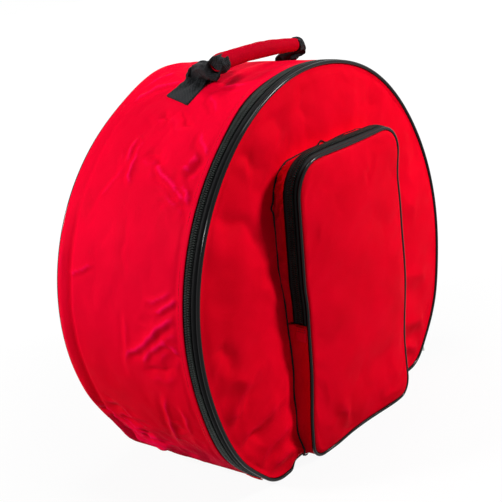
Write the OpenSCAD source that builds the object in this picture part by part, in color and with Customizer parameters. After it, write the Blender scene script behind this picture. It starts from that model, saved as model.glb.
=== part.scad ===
// Round padded drum-style gear bag with a zipped front lid and an outside pocket.
// X is to the right, -Y is the front, +Z is up. The origin is the middle of the flat base.
// Every length is in millimetres.

/* [Shell] */
// Radius of the round shell
bag_radius = 185; // [175:1:200]
// Height of the shell's centre above the flat base
centre_height = 140; // [130:1:150]
// Radius of the two rounded bottom corners
corner_radius = 36; // [30:1:45]
// Distance from the base's centre line to the front seam
front_reach = 80; // [75:1:100]
// Distance from the base's centre line to the rear seam
rear_reach = 79; // [74:1:100]
// Thickness of the outer cloth
cloth = 1; // [0.8:0.1:1.4]
// Thickness of the foam padding
foam = 5; // [4:0.5:7]
// Thickness of the lining
lining = 0.6; // [0.4:0.1:0.8]
// Width of the edge binding
binding_width = 4; // [3:0.5:5]

/* [Piping] */
// Diameter of the piping round the front rim and the pocket
piping_d = 4; // [3:0.5:5]
// Diameter of the thin piping in the rear seam
rear_piping_d = 3; // [2.5:0.5:4]

/* [Zips] */
// Distance from the front seam back to the middle of the main zip
zip_setback = 9.75; // [9.5:0.25:12]
// Width of one half of a zip coil
coil_half = 2.5; // [2:0.1:3]
// Gap between the two halves of a zip
zip_gap = 1; // [0.9:0.1:1.4]
// Height of the coil above its tape
coil_height = 2; // [1.6:0.1:2.4]
// Thickness of the zip tape
tape = 0.8; // [0.6:0.1:1]
// Angle from the top of the shell to each end of the main zip
zip_end_angle = 133; // [120:1:133]
// Length of a slider's body
slider_length = 11; // [9:0.5:13]
// Width of a slider's body
slider_width = 8; // [7.5:0.5:9]
// Length of a pull tab from its pin to its tip
pull_length = 17.5; // [14:0.5:18]
// Width of a pull tab
pull_width = 6; // [5:0.5:7]

// Width of the folded cloth tabs that finish the zips
tab_width = 10; // [8:0.5:12]
// Length of the tab at each end of the main zip
main_tab_length = 6; // [5:0.5:8]
// Length of the tab at each end of the pocket zip
pocket_tab_length = 13; // [10:0.5:16]
// Thickness of the pressed pocket tab
pocket_tab = 0.7; // [0.5:0.05:0.8]

/* [Pocket] */
// Width of the pocket
pocket_width = 154; // [130:1:170]
// Height of the pocket's lower edge above the base
pocket_low = 1; // [1:0.5:20]
// Height of the pocket's top edge above the base
pocket_high = 261; // [230:1:265]
// Depth of the pocket at its lower edge
pocket_depth_low = 13; // [11:0.5:20]
// Depth of the pocket at its top edge
pocket_depth_high = 32; // [28:0.5:45]
// Radius of the pocket's two top corners
pocket_top_radius = 28; // [20:1:40]
// Radius of the pocket's two lower corners
pocket_low_radius = 16; // [10:1:25]
// Height up the pocket at which its zip ends and the flap folds
flap_height = 126; // [100:0.5:140]
// Thickness of the padded pocket panel
panel = 2.5; // [2:0.1:3.5]

/* [Handle] */
// Sideways place of the handle's middle between its two sewn ends
handle_x = 11; // [-15:1:15]
// Place of the handle along the depth
handle_y = 9; // [-10:1:20]
// Half the distance between the two folds that the handle swings on
handle_half = 60; // [55:1:65]
// Sideways shift of the grip, as far as the slack lets it slide
grip_shift = -9; // [-10:1:0]
// Length of the padded grip
grip_length = 110; // [110:1:130]
// Diameter of the padded grip
grip_d = 16; // [16:0.5:20]
// Height of the grip's middle above the swing axis
grip_rise = 44; // [40:1:50]
// Rise of the grip's middle above its ends
grip_arch = 4; // [3:0.5:6]
// Width of the webbing
webbing_width = 32; // [25:1:38]
// Thickness of the webbing
webbing = 2; // [1.5:0.1:2.5]
// Length of each sewn end
sewn_length = 15.6; // [12:0.2:20]
// Angle of the handle from upright as it leans forward
handle_lean = 60; // [45:1:60]

/* [Hidden] */
$fn = 96;
eps = 0.05;       // clearance between faces that are sewn together
clear = 0.3;      // clearance between bodies that move
big = 600;        // longer than the whole bag

red = "crimson";
black = "dimgray";

// Shell outline: a circle cut by the flat base, with two round corners
corner_x = sqrt(pow(bag_radius - corner_radius, 2) - pow(centre_height - corner_radius, 2));
blend_x = corner_x / (bag_radius - corner_radius);
blend_z = (centre_height - corner_radius) / (bag_radius - corner_radius);

// Layers, as insets from the outline
cover_in = cloth;
foam_in = cover_in + foam - tape;
lining_in = foam_in + lining;
tape_in = cloth + tape;

// Places along the depth
zip_y = zip_setback - front_reach;
zip_rear_y = zip_y + zip_gap / 2;
zip_front_y = zip_y - zip_gap / 2;
wall_front_y = zip_rear_y + coil_half + 1.25;
foam_front_y = wall_front_y + binding_width;
lid_back_y = piping_d / 2 - front_reach;
lid_inner_y = lid_back_y + foam - cloth;
wall_rear_y = rear_reach - 2 * cloth;
back_inner_y = rear_reach - cloth - foam;
lid_binding_in = tape_in + cloth + 1.2;

// Zip slider and its pull tab
plate = 1.2;
plate_gap = 0.4;
web = 0.4;
pin_r = 0.9;
eye_r = 2.4;
eye_width = 4.4;
post = 1;
slider_turn = zip_end_angle - 3.7;
pin_rise = coil_height / 2 + plate_gap + plate + eye_r + 2 * clear;

// Pocket: its panel leans forward towards the top
pocket_lean = atan((pocket_depth_high - pocket_depth_low) / (pocket_high - pocket_low));
pocket_length = (pocket_high - pocket_low) / cos(pocket_lean);
pocket_piping_in = 1;
panel_in = pocket_piping_in + piping_d / 2 + eps;
pocket_tape_front = piping_d;
pocket_zip_y = pocket_tape_front + 2.5 + coil_half + zip_gap / 2;
pocket_slider_z = flap_height + slider_length / 2 + 2;

// Handle: its swing axis lies just above the shell at both folds
fold_r = 2.7;
fold_length = 10;
fold_left = handle_x - handle_half + fold_length / 2;
fold_right = handle_x + handle_half - fold_length / 2;
axis_left_z = shell_top(fold_left) + clear + fold_r;
axis_right_z = shell_top(fold_right) + clear + fold_r;
axis_slope = (axis_left_z - axis_right_z) / (fold_right - fold_left);
axis_tilt = atan(axis_slope);
axis_mid_z = axis_left_z + axis_slope * fold_left;
grip_x = handle_x + grip_shift;
grip_bend = (pow(grip_length / 2, 2) + grip_arch * grip_arch) / (2 * grip_arch);
grip_end_rise = grip_rise - grip_arch;
core_width = 12;
core_thick = 3;
core_past = 4;
leg_width = 9;

function shell_top(x) = centre_height + sqrt(bag_radius * bag_radius - x * x);
function bezier(a, b, c, d, t) =
    pow(1 - t, 3) * a + 3 * t * pow(1 - t, 2) * b + 3 * t * t * (1 - t) * c + t * t * t * d;
function unit(v) = v / norm(v);
function normal_at(path, i) =
    let (v = unit(path[min(i + 1, len(path) - 1)] - path[max(i - 1, 0)])) [-v[1], v[0]];

// Flat outline of the shell, drawn in X and Z, moved in by inset
module shell_outline(inset = 0) {
    r = corner_radius - inset;
    side_x = corner_x + blend_x * r;
    side_z = corner_radius - blend_z * r;
    intersection() {
        translate([0, centre_height]) circle(bag_radius - inset, $fn = 360);
        translate([-big / 2, side_z]) square([big, big]);
    }
    for (side = [-1, 1]) translate([side * corner_x, corner_radius]) circle(r);
    polygon([[-side_x, side_z], [-corner_x, inset], [corner_x, inset], [side_x, side_z]]);
}

// Rounded outline of the pocket in its own plane, moved in by inset
module pocket_outline(inset = 0) {
    half = pocket_width / 2;
    top = pocket_length;
    low_r = pocket_low_radius;
    top_r = pocket_top_radius;
    translate([inset - half, low_r]) square([2 * (half - inset), top - top_r - low_r]);
    translate([low_r - half, inset]) square([2 * (half - low_r), top / 2]);
    translate([top_r - half, top / 2]) square([2 * (half - top_r), top / 2 - inset]);
    for (side = [-1, 1]) {
        translate([side * (half - low_r), low_r]) circle(low_r - inset);
        translate([side * (half - top_r), top - top_r]) circle(top_r - inset);
    }
}

// Raises a flat X-Z drawing along Y between two places
module along_y(from, to) {
    translate([0, to, 0]) rotate([90, 0, 0]) linear_extrude(to - from) children();
}

// Plate or ring with the shell's outline
module shell_plate(inset, from, to) {
    along_y(from, to) shell_outline(inset);
}

module shell_ring(outer, inner, from, to) {
    along_y(from, to) difference() {
        shell_outline(outer);
        shell_outline(inner);
    }
}

// Keeps the part of its children above or below the zip's ends
module zip_sector(low) {
    reach = zip_end_angle;
    wedge = [[0, centre_height],
        [big * sin(reach), centre_height + big * cos(reach)],
        [0, -big],
        [-big * sin(reach), centre_height + big * cos(reach)]];
    if (low)
        intersection() {
            children();
            along_y(-big, big) polygon(wedge);
        }
    else
        difference() {
            children();
            along_y(-big, big) polygon(wedge);
        }
}

// Band round the shell between two angles, measured to the right from its top
module arc_band(outer, inner, from, to, start, end) {
    translate([0, 0, centre_height]) rotate([90, 0, 0]) rotate([0, 0, 90 - end])
        rotate_extrude(angle = end - start, $fn = 360)
            translate([bag_radius - inner, -to]) square([inner - outer, to - from]);
}

// Puts its children on the shell at an angle from the top, with Z pointing outwards
module on_shell(angle, y) {
    translate([0, y, centre_height]) rotate([0, angle, 0]) translate([0, 0, bag_radius]) children();
}

// Puts its children in the pocket's own plane: Y is 0 on the panel's face and grows inwards
module on_pocket() {
    translate([0, -front_reach - pocket_depth_low, pocket_low]) rotate([pocket_lean, 0, 0]) children();
}

// Keeps a stretch of the pocket's height
module pocket_stretch(from, to) {
    intersection() {
        children();
        translate([-big / 2, -big / 2, from]) cube([big, big, to - from]);
    }
}

module pocket_ring(outer, inner, from, to) {
    along_y(from, to) difference() {
        pocket_outline(outer);
        pocket_outline(inner);
    }
}

// Keeps what lies in front of the lid's face and clear of the rim piping
module before_lid(from = big) {
    difference() {
        intersection() {
            children();
            translate([-big / 2, -front_reach - from, -big / 2]) cube([big, from, big * 2]);
        }
        shell_ring(-cloth, piping_d + eps, lid_back_y - piping_d - eps, 0);
    }
}

// One quarter turn of pocket piping about a corner's centre
module piping_corner(x, z, radius, turn) {
    translate([x, piping_d / 2, z]) rotate([90, 0, 0]) rotate([0, 0, turn])
        rotate_extrude(angle = 90) translate([radius, 0]) circle(piping_d / 2, $fn = 24);
}

module rod(a, b, d) {
    v = b - a;
    translate(a) rotate([0, acos(v[2] / norm(v)), atan2(v[1], v[0])])
        cylinder(d = d, h = norm(v), $fn = 24);
}

// Slider body: two plates joined by a thin web that runs between the zip's halves
module slider_body() {
    top = coil_height - cloth + plate_gap;
    low = -tape_in - plate_gap;
    pin_z = coil_height - cloth + pin_rise;
    translate([-slider_length / 2, -slider_width / 2, top]) cube([slider_length, slider_width, plate]);
    translate([-slider_length / 2, -slider_width / 2, low - plate])
        cube([slider_length, slider_width, plate]);
    translate([-slider_length / 4, -web / 2, low - plate / 2])
        cube([slider_length / 2, web, top - low + plate]);
    for (side = [-1, 1])
        translate([-eye_r / 2, side * (eye_width / 2 + clear + post / 2) - post / 2, top])
            cube([eye_r, post, pin_z - top + pin_r]);
    translate([0, 0, pin_z]) rotate([90, 0, 0])
        cylinder(r = pin_r, h = eye_width + 2 * clear + post, center = true, $fn = 24);
}

// Pull tab hanging from the origin along -Z, with its eye's axis along Y
module pull_tab() {
    thick = 1.4;
    difference() {
        union() {
            rotate([90, 0, 0]) cylinder(r = eye_r, h = eye_width, center = true, $fn = 32);
            translate([-thick / 2, -eye_width / 2, -pull_length / 2]) cube([thick, eye_width, pull_length / 2]);
            translate([-thick / 2, -pull_width / 2, -pull_length])
                cube([thick, pull_width, pull_length - 2 * eye_r]);
        }
        rotate([90, 0, 0]) cylinder(r = pin_r + 0.1, h = big, center = true, $fn = 32);
    }
}

// Puts its children on the handle's swing axis, with Z up the leaning handle
module on_handle() {
    translate([0, handle_y, axis_mid_z]) rotate([handle_lean, axis_tilt, 0]) children();
}

// Solid of a given cross-section that follows the arch of the grip, and runs past its ends
module grip_sweep(past = 0) {
    half_angle = asin((grip_length / 2 + past) / grip_bend);
    translate([grip_x, 0, grip_rise - grip_bend]) rotate([90, 0, 0])
        rotate([0, 0, 90 - half_angle]) rotate_extrude(angle = 2 * half_angle, $fn = 360)
            translate([grip_bend, 0]) children();
}

// One gathered leg of webbing, from the grip's end round to its fold
module handle_leg(side) {
    start = [grip_x + side * (grip_length / 2 + core_past / 2), grip_end_rise - 0.5];
    fold = [handle_x + side * (handle_half - 1), fold_r + 0.8];
    out = max(side * start[0], side * fold[0]) + 17;
    path = [for (t = [0:1 / 14:1]) bezier(start, [side * out, grip_end_rise - 2],
        [side * (out + 4), fold[1] + 3], fold, t)];
    sides = [for (i = [0:14]) path[i] + normal_at(path, i) * core_thick / 2];
    back = [for (i = [14:-1:0]) path[i] - normal_at(path, i) * core_thick / 2];
    along_y(-leg_width / 2, leg_width / 2) polygon(concat(sides, back));
    translate([handle_x + side * handle_half, 0, 0]) rotate([0, 90, 0])
        cylinder(r = fold_r, h = fold_length, center = true, $fn = 48);
}

module wall_cover() color(red) zip_sector(false) shell_ring(0, cloth, wall_front_y, wall_rear_y);
module wall_foam() color(black)
    zip_sector(false) shell_ring(cover_in, foam_in, foam_front_y, wall_rear_y);
module wall_lining() color(black)
    zip_sector(false) shell_ring(foam_in, lining_in, foam_front_y, wall_rear_y);

module base_cover() color(red)
    zip_sector(true) shell_ring(0, cloth, lid_back_y + clear, wall_rear_y);
module base_foam() color(black)
    zip_sector(true) shell_ring(cover_in, foam_in, foam_front_y, wall_rear_y);
module base_lining() color(black)
    zip_sector(true) shell_ring(foam_in, lining_in, foam_front_y, wall_rear_y);

module back_cover() color(red) shell_plate(rear_piping_d + 1, rear_reach - cloth, rear_reach);
module back_foam() color(black) shell_plate(lining_in + eps, back_inner_y, rear_reach - cloth);
module back_lining() color(black) shell_plate(lining_in + eps, back_inner_y - lining, back_inner_y);

// Piping in a shell rim, as a ring of square section that keeps the shell's true outline
module rim_piping(d, inset, y) {
    shell_ring(inset, inset + d, y - d / 2, y + d / 2);
}

module back_piping() color(black)
    rim_piping(rear_piping_d, cloth, wall_rear_y + rear_piping_d / 2);
module lid_piping() color(black) rim_piping(piping_d, 0, -front_reach);

module front_edge_binding() color(black)
    shell_ring(tape_in, lining_in, wall_front_y, foam_front_y);
module back_seam_binding() color(black)
    shell_ring(lining_in + eps, lining_in + 3, back_inner_y - lining - 3, back_inner_y - lining);

module main_zip_rear_tape() color(black)
    arc_band(cloth, tape_in, zip_rear_y, foam_front_y, -zip_end_angle, zip_end_angle);
module main_zip_rear_coil() color(black)
    arc_band(cloth - coil_height, cloth, zip_rear_y, zip_rear_y + coil_half,
        -zip_end_angle, zip_end_angle);
module main_zip_front_tape() color(black)
    arc_band(cloth, tape_in, lid_back_y, zip_front_y, -zip_end_angle, zip_end_angle);
module main_zip_front_coil() color(black)
    arc_band(cloth - coil_height, cloth, zip_front_y - coil_half, zip_front_y,
        -zip_end_angle, zip_end_angle);

// Small folded tabs sewn on the base cover where the main zip runs out
module main_zip_end_tabs() color(red)
    for (side = [-1, 1])
        on_shell(side * (zip_end_angle + 1.4), zip_y)
            translate([-main_tab_length / 2, -tab_width / 2, eps])
                cube([main_tab_length, tab_width, cloth]);

module handle_sewn_ends() color(black) {
    ends = [handle_half + fold_length / 2 + clear, handle_half + fold_length / 2 + clear + sewn_length];
    for (side = [-1, 1]) {
        a = asin((handle_x + side * ends[0]) / bag_radius);
        b = asin((handle_x + side * ends[1]) / bag_radius);
        arc_band(-webbing, -eps, handle_y - webbing_width / 2, handle_y + webbing_width / 2,
            min(a, b), max(a, b));
    }
}

module lid_cover() color(red) shell_plate(piping_d + eps, -front_reach, cloth - front_reach);
module lid_foam() color(black) shell_plate(lid_binding_in + 1, cloth - front_reach, lid_inner_y);
module lid_lining() color(black) shell_plate(lid_binding_in + 1, lid_inner_y, lid_inner_y + lining);
module lid_edge_binding() color(black)
    shell_ring(lid_binding_in, lid_binding_in + 1 - eps, lid_back_y + eps, lid_inner_y + lining);

// Pocket pieces
module pocket_base_seam() color(black)
    before_lid(1.5) on_pocket() pocket_ring(-1.5, -eps, 0, big / 4);
module pocket_upper_gusset() color(red)
    before_lid() on_pocket()
        pocket_stretch(flap_height + clear / 2, big)
            pocket_ring(0, cloth, pocket_zip_y + zip_gap / 2 + coil_half + 1, big / 4);
module pocket_lower_gusset() color(red)
    before_lid() on_pocket()
        pocket_stretch(-big, flap_height - clear / 2) pocket_ring(0, cloth, piping_d, big / 4);
module pocket_zip_rear_tape() color(black)
    on_pocket() pocket_stretch(flap_height + clear / 2, big)
        pocket_ring(cloth, tape_in, pocket_zip_y + zip_gap / 2, pocket_zip_y + zip_gap / 2 + coil_half + 3);
module pocket_zip_rear_coil() color(black)
    on_pocket() pocket_stretch(flap_height + clear / 2, big)
        pocket_ring(cloth - coil_height, cloth, pocket_zip_y + zip_gap / 2,
            pocket_zip_y + zip_gap / 2 + coil_half);
module pocket_zip_front_tape() color(black)
    on_pocket() pocket_stretch(flap_height + clear / 2, big)
        pocket_ring(cloth, tape_in, pocket_tape_front, pocket_zip_y - zip_gap / 2);
module pocket_zip_front_coil() color(black)
    on_pocket() pocket_stretch(flap_height + clear / 2, big)
        pocket_ring(cloth - coil_height, cloth, pocket_zip_y - zip_gap / 2 - coil_half,
            pocket_zip_y - zip_gap / 2);
module pocket_zip_end_tabs() color(red)
    on_pocket() for (side = [-1, 1])
        translate([side * (pocket_width / 2 + eps + pocket_tab / 2) - pocket_tab / 2,
            pocket_zip_y - tab_width / 2, flap_height - 2 - pocket_tab_length])
            cube([pocket_tab, tab_width, pocket_tab_length]);
module pocket_lower_panel() color(red)
    on_pocket() pocket_stretch(-big, flap_height - clear / 2)
        along_y(0, panel) pocket_outline(panel_in);
module pocket_flap_panel() color(red)
    on_pocket() pocket_stretch(flap_height + clear / 2, big)
        along_y(0, panel) pocket_outline(panel_in);
module pocket_piping(low) {
    x = pocket_width / 2 - pocket_piping_in;
    top = pocket_length - pocket_piping_in;
    r = low ? pocket_low_radius : pocket_top_radius;
    edge = low ? pocket_piping_in : top;
    bend = low ? pocket_low_radius : pocket_length - pocket_top_radius;
    cut = low ? flap_height - clear / 2 : flap_height + clear / 2;
    y = piping_d / 2;
    for (side = [0, 1]) mirror([side, 0, 0]) {
        rod([x, y, min(bend, cut)], [x, y, max(bend, cut)], piping_d);
        piping_corner(pocket_width / 2 - r, bend, r - pocket_piping_in, low ? -90 : 0);
    }
    rod([r - pocket_width / 2, y, edge], [pocket_width / 2 - r, y, edge], piping_d);
}
module pocket_lower_piping() color(black) on_pocket() pocket_piping(true);
module pocket_flap_piping() color(black) on_pocket() pocket_piping(false);

// Handle pieces
module handle_webbing() color(black) on_handle() {
    grip_sweep(core_past) square([core_thick, core_width], center = true);
    for (side = [-1, 1]) handle_leg(side);
}
module handle_foam() color(black) on_handle() grip_sweep() difference() {
    circle(grip_d / 2 - cloth - eps, $fn = 48);
    square([core_thick + 2 * eps, core_width + 2 * eps], center = true);
}
module handle_grip_cover() color(red) on_handle() grip_sweep() difference() {
    circle(grip_d / 2, $fn = 48);
    circle(grip_d / 2 - cloth, $fn = 48);
}

// Sliders and pull tabs
module main_slider() color("silver") on_shell(slider_turn, zip_y) slider_body();
module main_pull_tab() color("silver")
    on_shell(slider_turn, zip_y) translate([0, 0, coil_height - cloth + pin_rise])
        rotate([0, -slider_turn, 0]) pull_tab();
module on_pocket_side() {
    on_pocket() translate([pocket_width / 2, pocket_zip_y, pocket_slider_z]) children();
}
module pocket_slider() color("silver") on_pocket_side() rotate([0, 90, 0]) slider_body();
module pocket_pull_tab() color("silver")
    on_pocket_side() translate([coil_height - cloth + pin_rise, 0, 0]) pull_tab();

wall_cover();
wall_foam();
wall_lining();
base_cover();
base_foam();
base_lining();
back_cover();
back_foam();
back_lining();
back_piping();
front_edge_binding();
back_seam_binding();
main_zip_rear_tape();
main_zip_rear_coil();
main_zip_end_tabs();
handle_sewn_ends();
lid_cover();
lid_foam();
lid_lining();
lid_piping();
lid_edge_binding();
main_zip_front_tape();
main_zip_front_coil();
pocket_base_seam();
pocket_upper_gusset();
pocket_lower_gusset();
pocket_lower_panel();
pocket_lower_piping();
pocket_zip_rear_tape();
pocket_zip_rear_coil();
pocket_zip_end_tabs();
pocket_flap_panel();
pocket_flap_piping();
pocket_zip_front_tape();
pocket_zip_front_coil();
handle_webbing();
handle_foam();
handle_grip_cover();
main_slider();
main_pull_tab();
pocket_slider();
pocket_pull_tab();
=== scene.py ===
import math

import bpy
import bmesh
import numpy as np
from mathutils import Matrix, Vector


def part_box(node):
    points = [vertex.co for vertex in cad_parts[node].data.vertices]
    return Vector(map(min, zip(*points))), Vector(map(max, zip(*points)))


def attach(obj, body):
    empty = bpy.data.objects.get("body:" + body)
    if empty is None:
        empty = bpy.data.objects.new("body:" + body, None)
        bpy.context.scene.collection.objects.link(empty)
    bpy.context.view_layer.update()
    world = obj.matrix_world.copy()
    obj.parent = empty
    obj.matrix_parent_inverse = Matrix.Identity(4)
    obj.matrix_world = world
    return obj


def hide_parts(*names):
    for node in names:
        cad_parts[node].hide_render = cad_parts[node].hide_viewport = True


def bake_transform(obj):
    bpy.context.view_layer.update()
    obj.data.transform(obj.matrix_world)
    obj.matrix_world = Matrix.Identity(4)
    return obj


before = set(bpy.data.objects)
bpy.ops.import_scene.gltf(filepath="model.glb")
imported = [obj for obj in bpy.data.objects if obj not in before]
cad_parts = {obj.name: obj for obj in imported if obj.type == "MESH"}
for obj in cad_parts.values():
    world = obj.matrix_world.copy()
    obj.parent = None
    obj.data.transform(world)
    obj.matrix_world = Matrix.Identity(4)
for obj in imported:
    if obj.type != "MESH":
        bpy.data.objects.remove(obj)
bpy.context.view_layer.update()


def smooth(t):
    t = np.clip(t, 0, 1)
    return t * t * (3 - 2 * t)


def bump(distance, width):
    return np.exp(-((distance / width) ** 2))


def boxOf(node):
    low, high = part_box(node)
    return np.array(low) * 1000, np.array(high) * 1000


# Sum of a few plane waves with seeded directions: a soft, repeatable unevenness between -1 and 1
def ripple(u, v, wavelength, seed, waves=9):
    draw = np.random.default_rng(seed)
    total = 0
    for _ in range(waves):
        angle, phase = draw.uniform(0, 2 * math.pi, 2)
        length = wavelength * draw.uniform(0.7, 1.6)
        total = total + np.sin((u * math.cos(angle) + v * math.sin(angle)) * 2 * math.pi / length + phase)
    return total / waves * 1.6


# Folds: each runs from one plan point to another, and has a width and a height. The crest is sharp and
# the sides are soft, and a shallow valley lies beside it.
def foldHeights(u, v, folds):
    total = np.zeros(np.broadcast(u, v).shape)
    for u0, v0, u1, v1, width, height in folds:
        length = math.hypot(u1 - u0, v1 - v0)
        along = ((u - u0) * (u1 - u0) + (v - v0) * (v1 - v0)) / length**2
        across = ((u - u0) * (v1 - v0) - (v - v0) * (u1 - u0)) / length
        across = across + 0.4 * width * np.sin(along * 5 + u0) + 0.15 * width * np.sin(along * 13 + v0)
        crest = np.exp(-(np.sqrt(across**2 + 0.6) - 0.77) / (0.7 * width))
        ridge = crest - 0.5 * bump(across - 2.0 * width, width)
        end = 3.5 / length + 0.12
        ends = smooth((along + end) / (2 * end)) * smooth((1 + end - along) / (2 * end))
        total = total + height * ridge * ends
    return total


# Crumpled cloth: sharp irregular ridges inside round patches of (u, v, radius, height, ridge spacing)
def crumpleHeights(u, v, patches, seed):
    total = np.zeros(np.broadcast(u, v).shape)
    for k, (u0, v0, radius, height, spacing) in enumerate(patches):
        warp = ripple(u, v, spacing * 1.5, seed + k + 40) * spacing * 0.25
        ridges = 1 - np.sqrt(ripple(u + warp, v, spacing * 1.6, seed + k, 5) ** 2 + 0.004) * 1.7
        inside = smooth(1.6 - 1.3 * np.hypot(u - u0, v - v0) / radius)
        total = total + height * ridges * inside
    return total


# Outline made of arcs (centre x, centre z, radius, start and end angle clockwise from straight up)
# that straight stretches join. Gives points, outward normals and the length along it.
def makeOutline(arcs):
    rows = []
    for centreX, centreZ, radius, start, end in arcs:
        count = max(2, int(abs(end - start) * radius / 60) + 1)
        for angle in np.radians(np.linspace(start, end, count)):
            rows.append((centreX + radius * math.sin(angle), centreZ + radius * math.cos(angle),
                         math.sin(angle), math.cos(angle)))
    rows.append(rows[0])
    x, z, normalX, normalZ = np.array(rows).T
    s = np.concatenate([[0], np.cumsum(np.hypot(np.diff(x), np.diff(z)))])
    return dict(s=s, x=x, z=z, normalX=normalX, normalZ=normalZ, length=s[-1])


def alongOutline(outline, s, out=0):
    at = np.mod(s, outline["length"])
    x, z, normalX, normalZ = (np.interp(at, outline["s"], outline[key])
                              for key in ("x", "z", "normalX", "normalZ"))
    size = np.hypot(normalX, normalZ)
    return x + normalX / size * out, z + normalZ / size * out


wallLow, wallHigh = boxOf("wall_cover")
lidLow, lidHigh = boxOf("lid_cover")
_, backHigh = boxOf("back_cover")
tapeLow, tapeHigh = boxOf("main_zip_rear_tape")
rearCoilLow, rearCoilHigh = boxOf("main_zip_rear_coil")
frontCoilLow, frontCoilHigh = boxOf("main_zip_front_coil")

shell = dict(
    radius=(wallHigh[0] - wallLow[0]) / 2,
    cornerRadius=36,     # rounded bottom corners
    frontY=lidLow[1],    # face of the lid
    rearY=backHigh[1],   # face of the back
    wallFrontY=wallLow[1],
    wallRearY=wallHigh[1],
    cloth=1.0,
    foam=5.0,
    lining=0.6,
)
shell["centreZ"] = wallHigh[2] - shell["radius"]
tapeRadius = (tapeHigh[0] - tapeLow[0]) / 2
shell["zipEnd"] = math.degrees(math.acos((tapeLow[2] - shell["centreZ"]) / tapeRadius))


def shellArcs():
    radius, corner = shell["radius"], shell["cornerRadius"]
    rise = shell["centreZ"] - corner
    cornerX = math.sqrt((radius - corner) ** 2 - rise**2)
    turn = 90 + math.degrees(math.atan2(rise, cornerX))
    return [(0, shell["centreZ"], radius, 0, turn), (cornerX, corner, corner, turn, 180),
            (-cornerX, corner, corner, 180, 360 - turn), (0, shell["centreZ"], radius, 360 - turn, 360)]


shellOutline = makeOutline(shellArcs())
degree = math.radians(1) * shell["radius"]   # length of one degree along the shell
zipReach = shell["zipEnd"] * degree          # from the top to each end of the main zip

pocket = dict(
    width=154,
    low=1,              # lower edge above the base
    high=261,
    depthLow=13,
    depthHigh=32,
    topRadius=28,
    lowRadius=16,
    flapHeight=126,     # where the zip ends and the flap folds
    zipY=10 - 0.5,      # middle of the zip, from the panel's face inwards
)
pocket["lean"] = math.atan2(pocket["depthHigh"] - pocket["depthLow"], pocket["high"] - pocket["low"])
pocket["length"] = (pocket["high"] - pocket["low"]) / math.cos(pocket["lean"])


def pocketArcs():
    half, top = pocket["width"] / 2, pocket["length"]
    high, low = pocket["topRadius"], pocket["lowRadius"]
    return [(0, top - high, high, 0, 0), (half - high, top - high, high, 0, 90),
            (half - low, low, low, 90, 180), (low - half, low, low, 180, 270),
            (high - half, top - high, high, 270, 360)]


pocketOutline = makeOutline(pocketArcs())


# How the soft bag departs from its pattern, the same for all the pieces that meet at a point
shellSlack = dict(
    rearTaper=3.2, taperFrom=-30, taperOver=107,     # the shell narrows towards the back
    wobble=0.6, sway=0.8,                            # the rims are neither quite round nor quite flat
    calmBase=40, calmCentre=120,                     # the base and the middle of the panels keep their place
    # swells and hollows: angle from the top, its spread, height, and the depths between which it grows
    swells=[(117, 9, 2.4, -30, -78), (-3, 14, 6.5, -10, 60), (32, 20, 2.6, -10, -76), (-128, 14, -3.0, 0, 60),
            (-121, 12, 2.4, -30, -76), (20, 30, 2.0, 0, 60)],
    # places where the cloth beside the zip draws back: angle, its spread and distance
    draws=[(-20, 11, 5.0), (-124, 14, 4.5), (-2, 10, 2.0)],
    # the lid's lower rim rolls back and lifts, between two places across the bag
    rollBack=5.0, rollLift=2.6, rollFrom=-101, rollTo=75, rollDepth=-50, rollHeight=30,
)


def slackShell(points):
    x, y, z = np.moveaxis(points, -1, 0)
    dx, dz = x, z - shell["centreZ"]
    reach = np.hypot(dx, dz) + 1e-6
    angle = np.arctan2(dx, dz)
    turn = np.degrees(angle)
    clearOfBase = smooth(z / shellSlack["calmBase"]) * smooth(reach / shellSlack["calmCentre"])
    move = -shellSlack["rearTaper"] * smooth((y - shellSlack["taperFrom"]) / shellSlack["taperOver"])
    move = move + shellSlack["wobble"] * (np.sin(3 * angle + 0.6) + 0.5 * np.sin(5 * angle + 2)) / 1.5
    for place, spread, height, nearY, farY in shellSlack["swells"]:
        move = move + height * bump(turn - place, spread) * smooth((y - nearY) / (farY - nearY))
    move = move * clearOfBase
    for place, spread, distance in shellSlack["draws"]:
        behindZip = smooth((y + 71) / 6) * smooth((-20 - y) / 40)
        y = y + distance * bump(turn - place, spread) * behindZip
    roll = smooth((x - shellSlack["rollFrom"]) / 16) * smooth((shellSlack["rollTo"] - x) / 40)
    roll = roll * (1 - smooth(z / shellSlack["rollHeight"])) * smooth((shellSlack["rollDepth"] - y) / 26)
    y = y + shellSlack["sway"] * np.sin(2 * angle + 0.4) * clearOfBase + shellSlack["rollBack"] * roll
    z = z + shellSlack["rollLift"] * roll
    return np.stack([x + move * dx / reach, y, np.maximum(z + move * dz / reach, 0)], -1)


pocketSlack = dict(
    topLean=2.0, topPuff=3.5,                     # the stuffed top
    forward=2.0, swing=8.0, swingIn=11.0,         # the lower edge hangs forward, most at its right corner
    rightOut=3.2, rightSink=1.8,                  # the right edge bows forward half way up and sinks above
    leftHigh=2.0, leftLow=4.2,                    # the left edge bows out above and below
    flare=3.0, topSink=4.0,                       # the sides spread where they meet the lid, the top sinks
)


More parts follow.
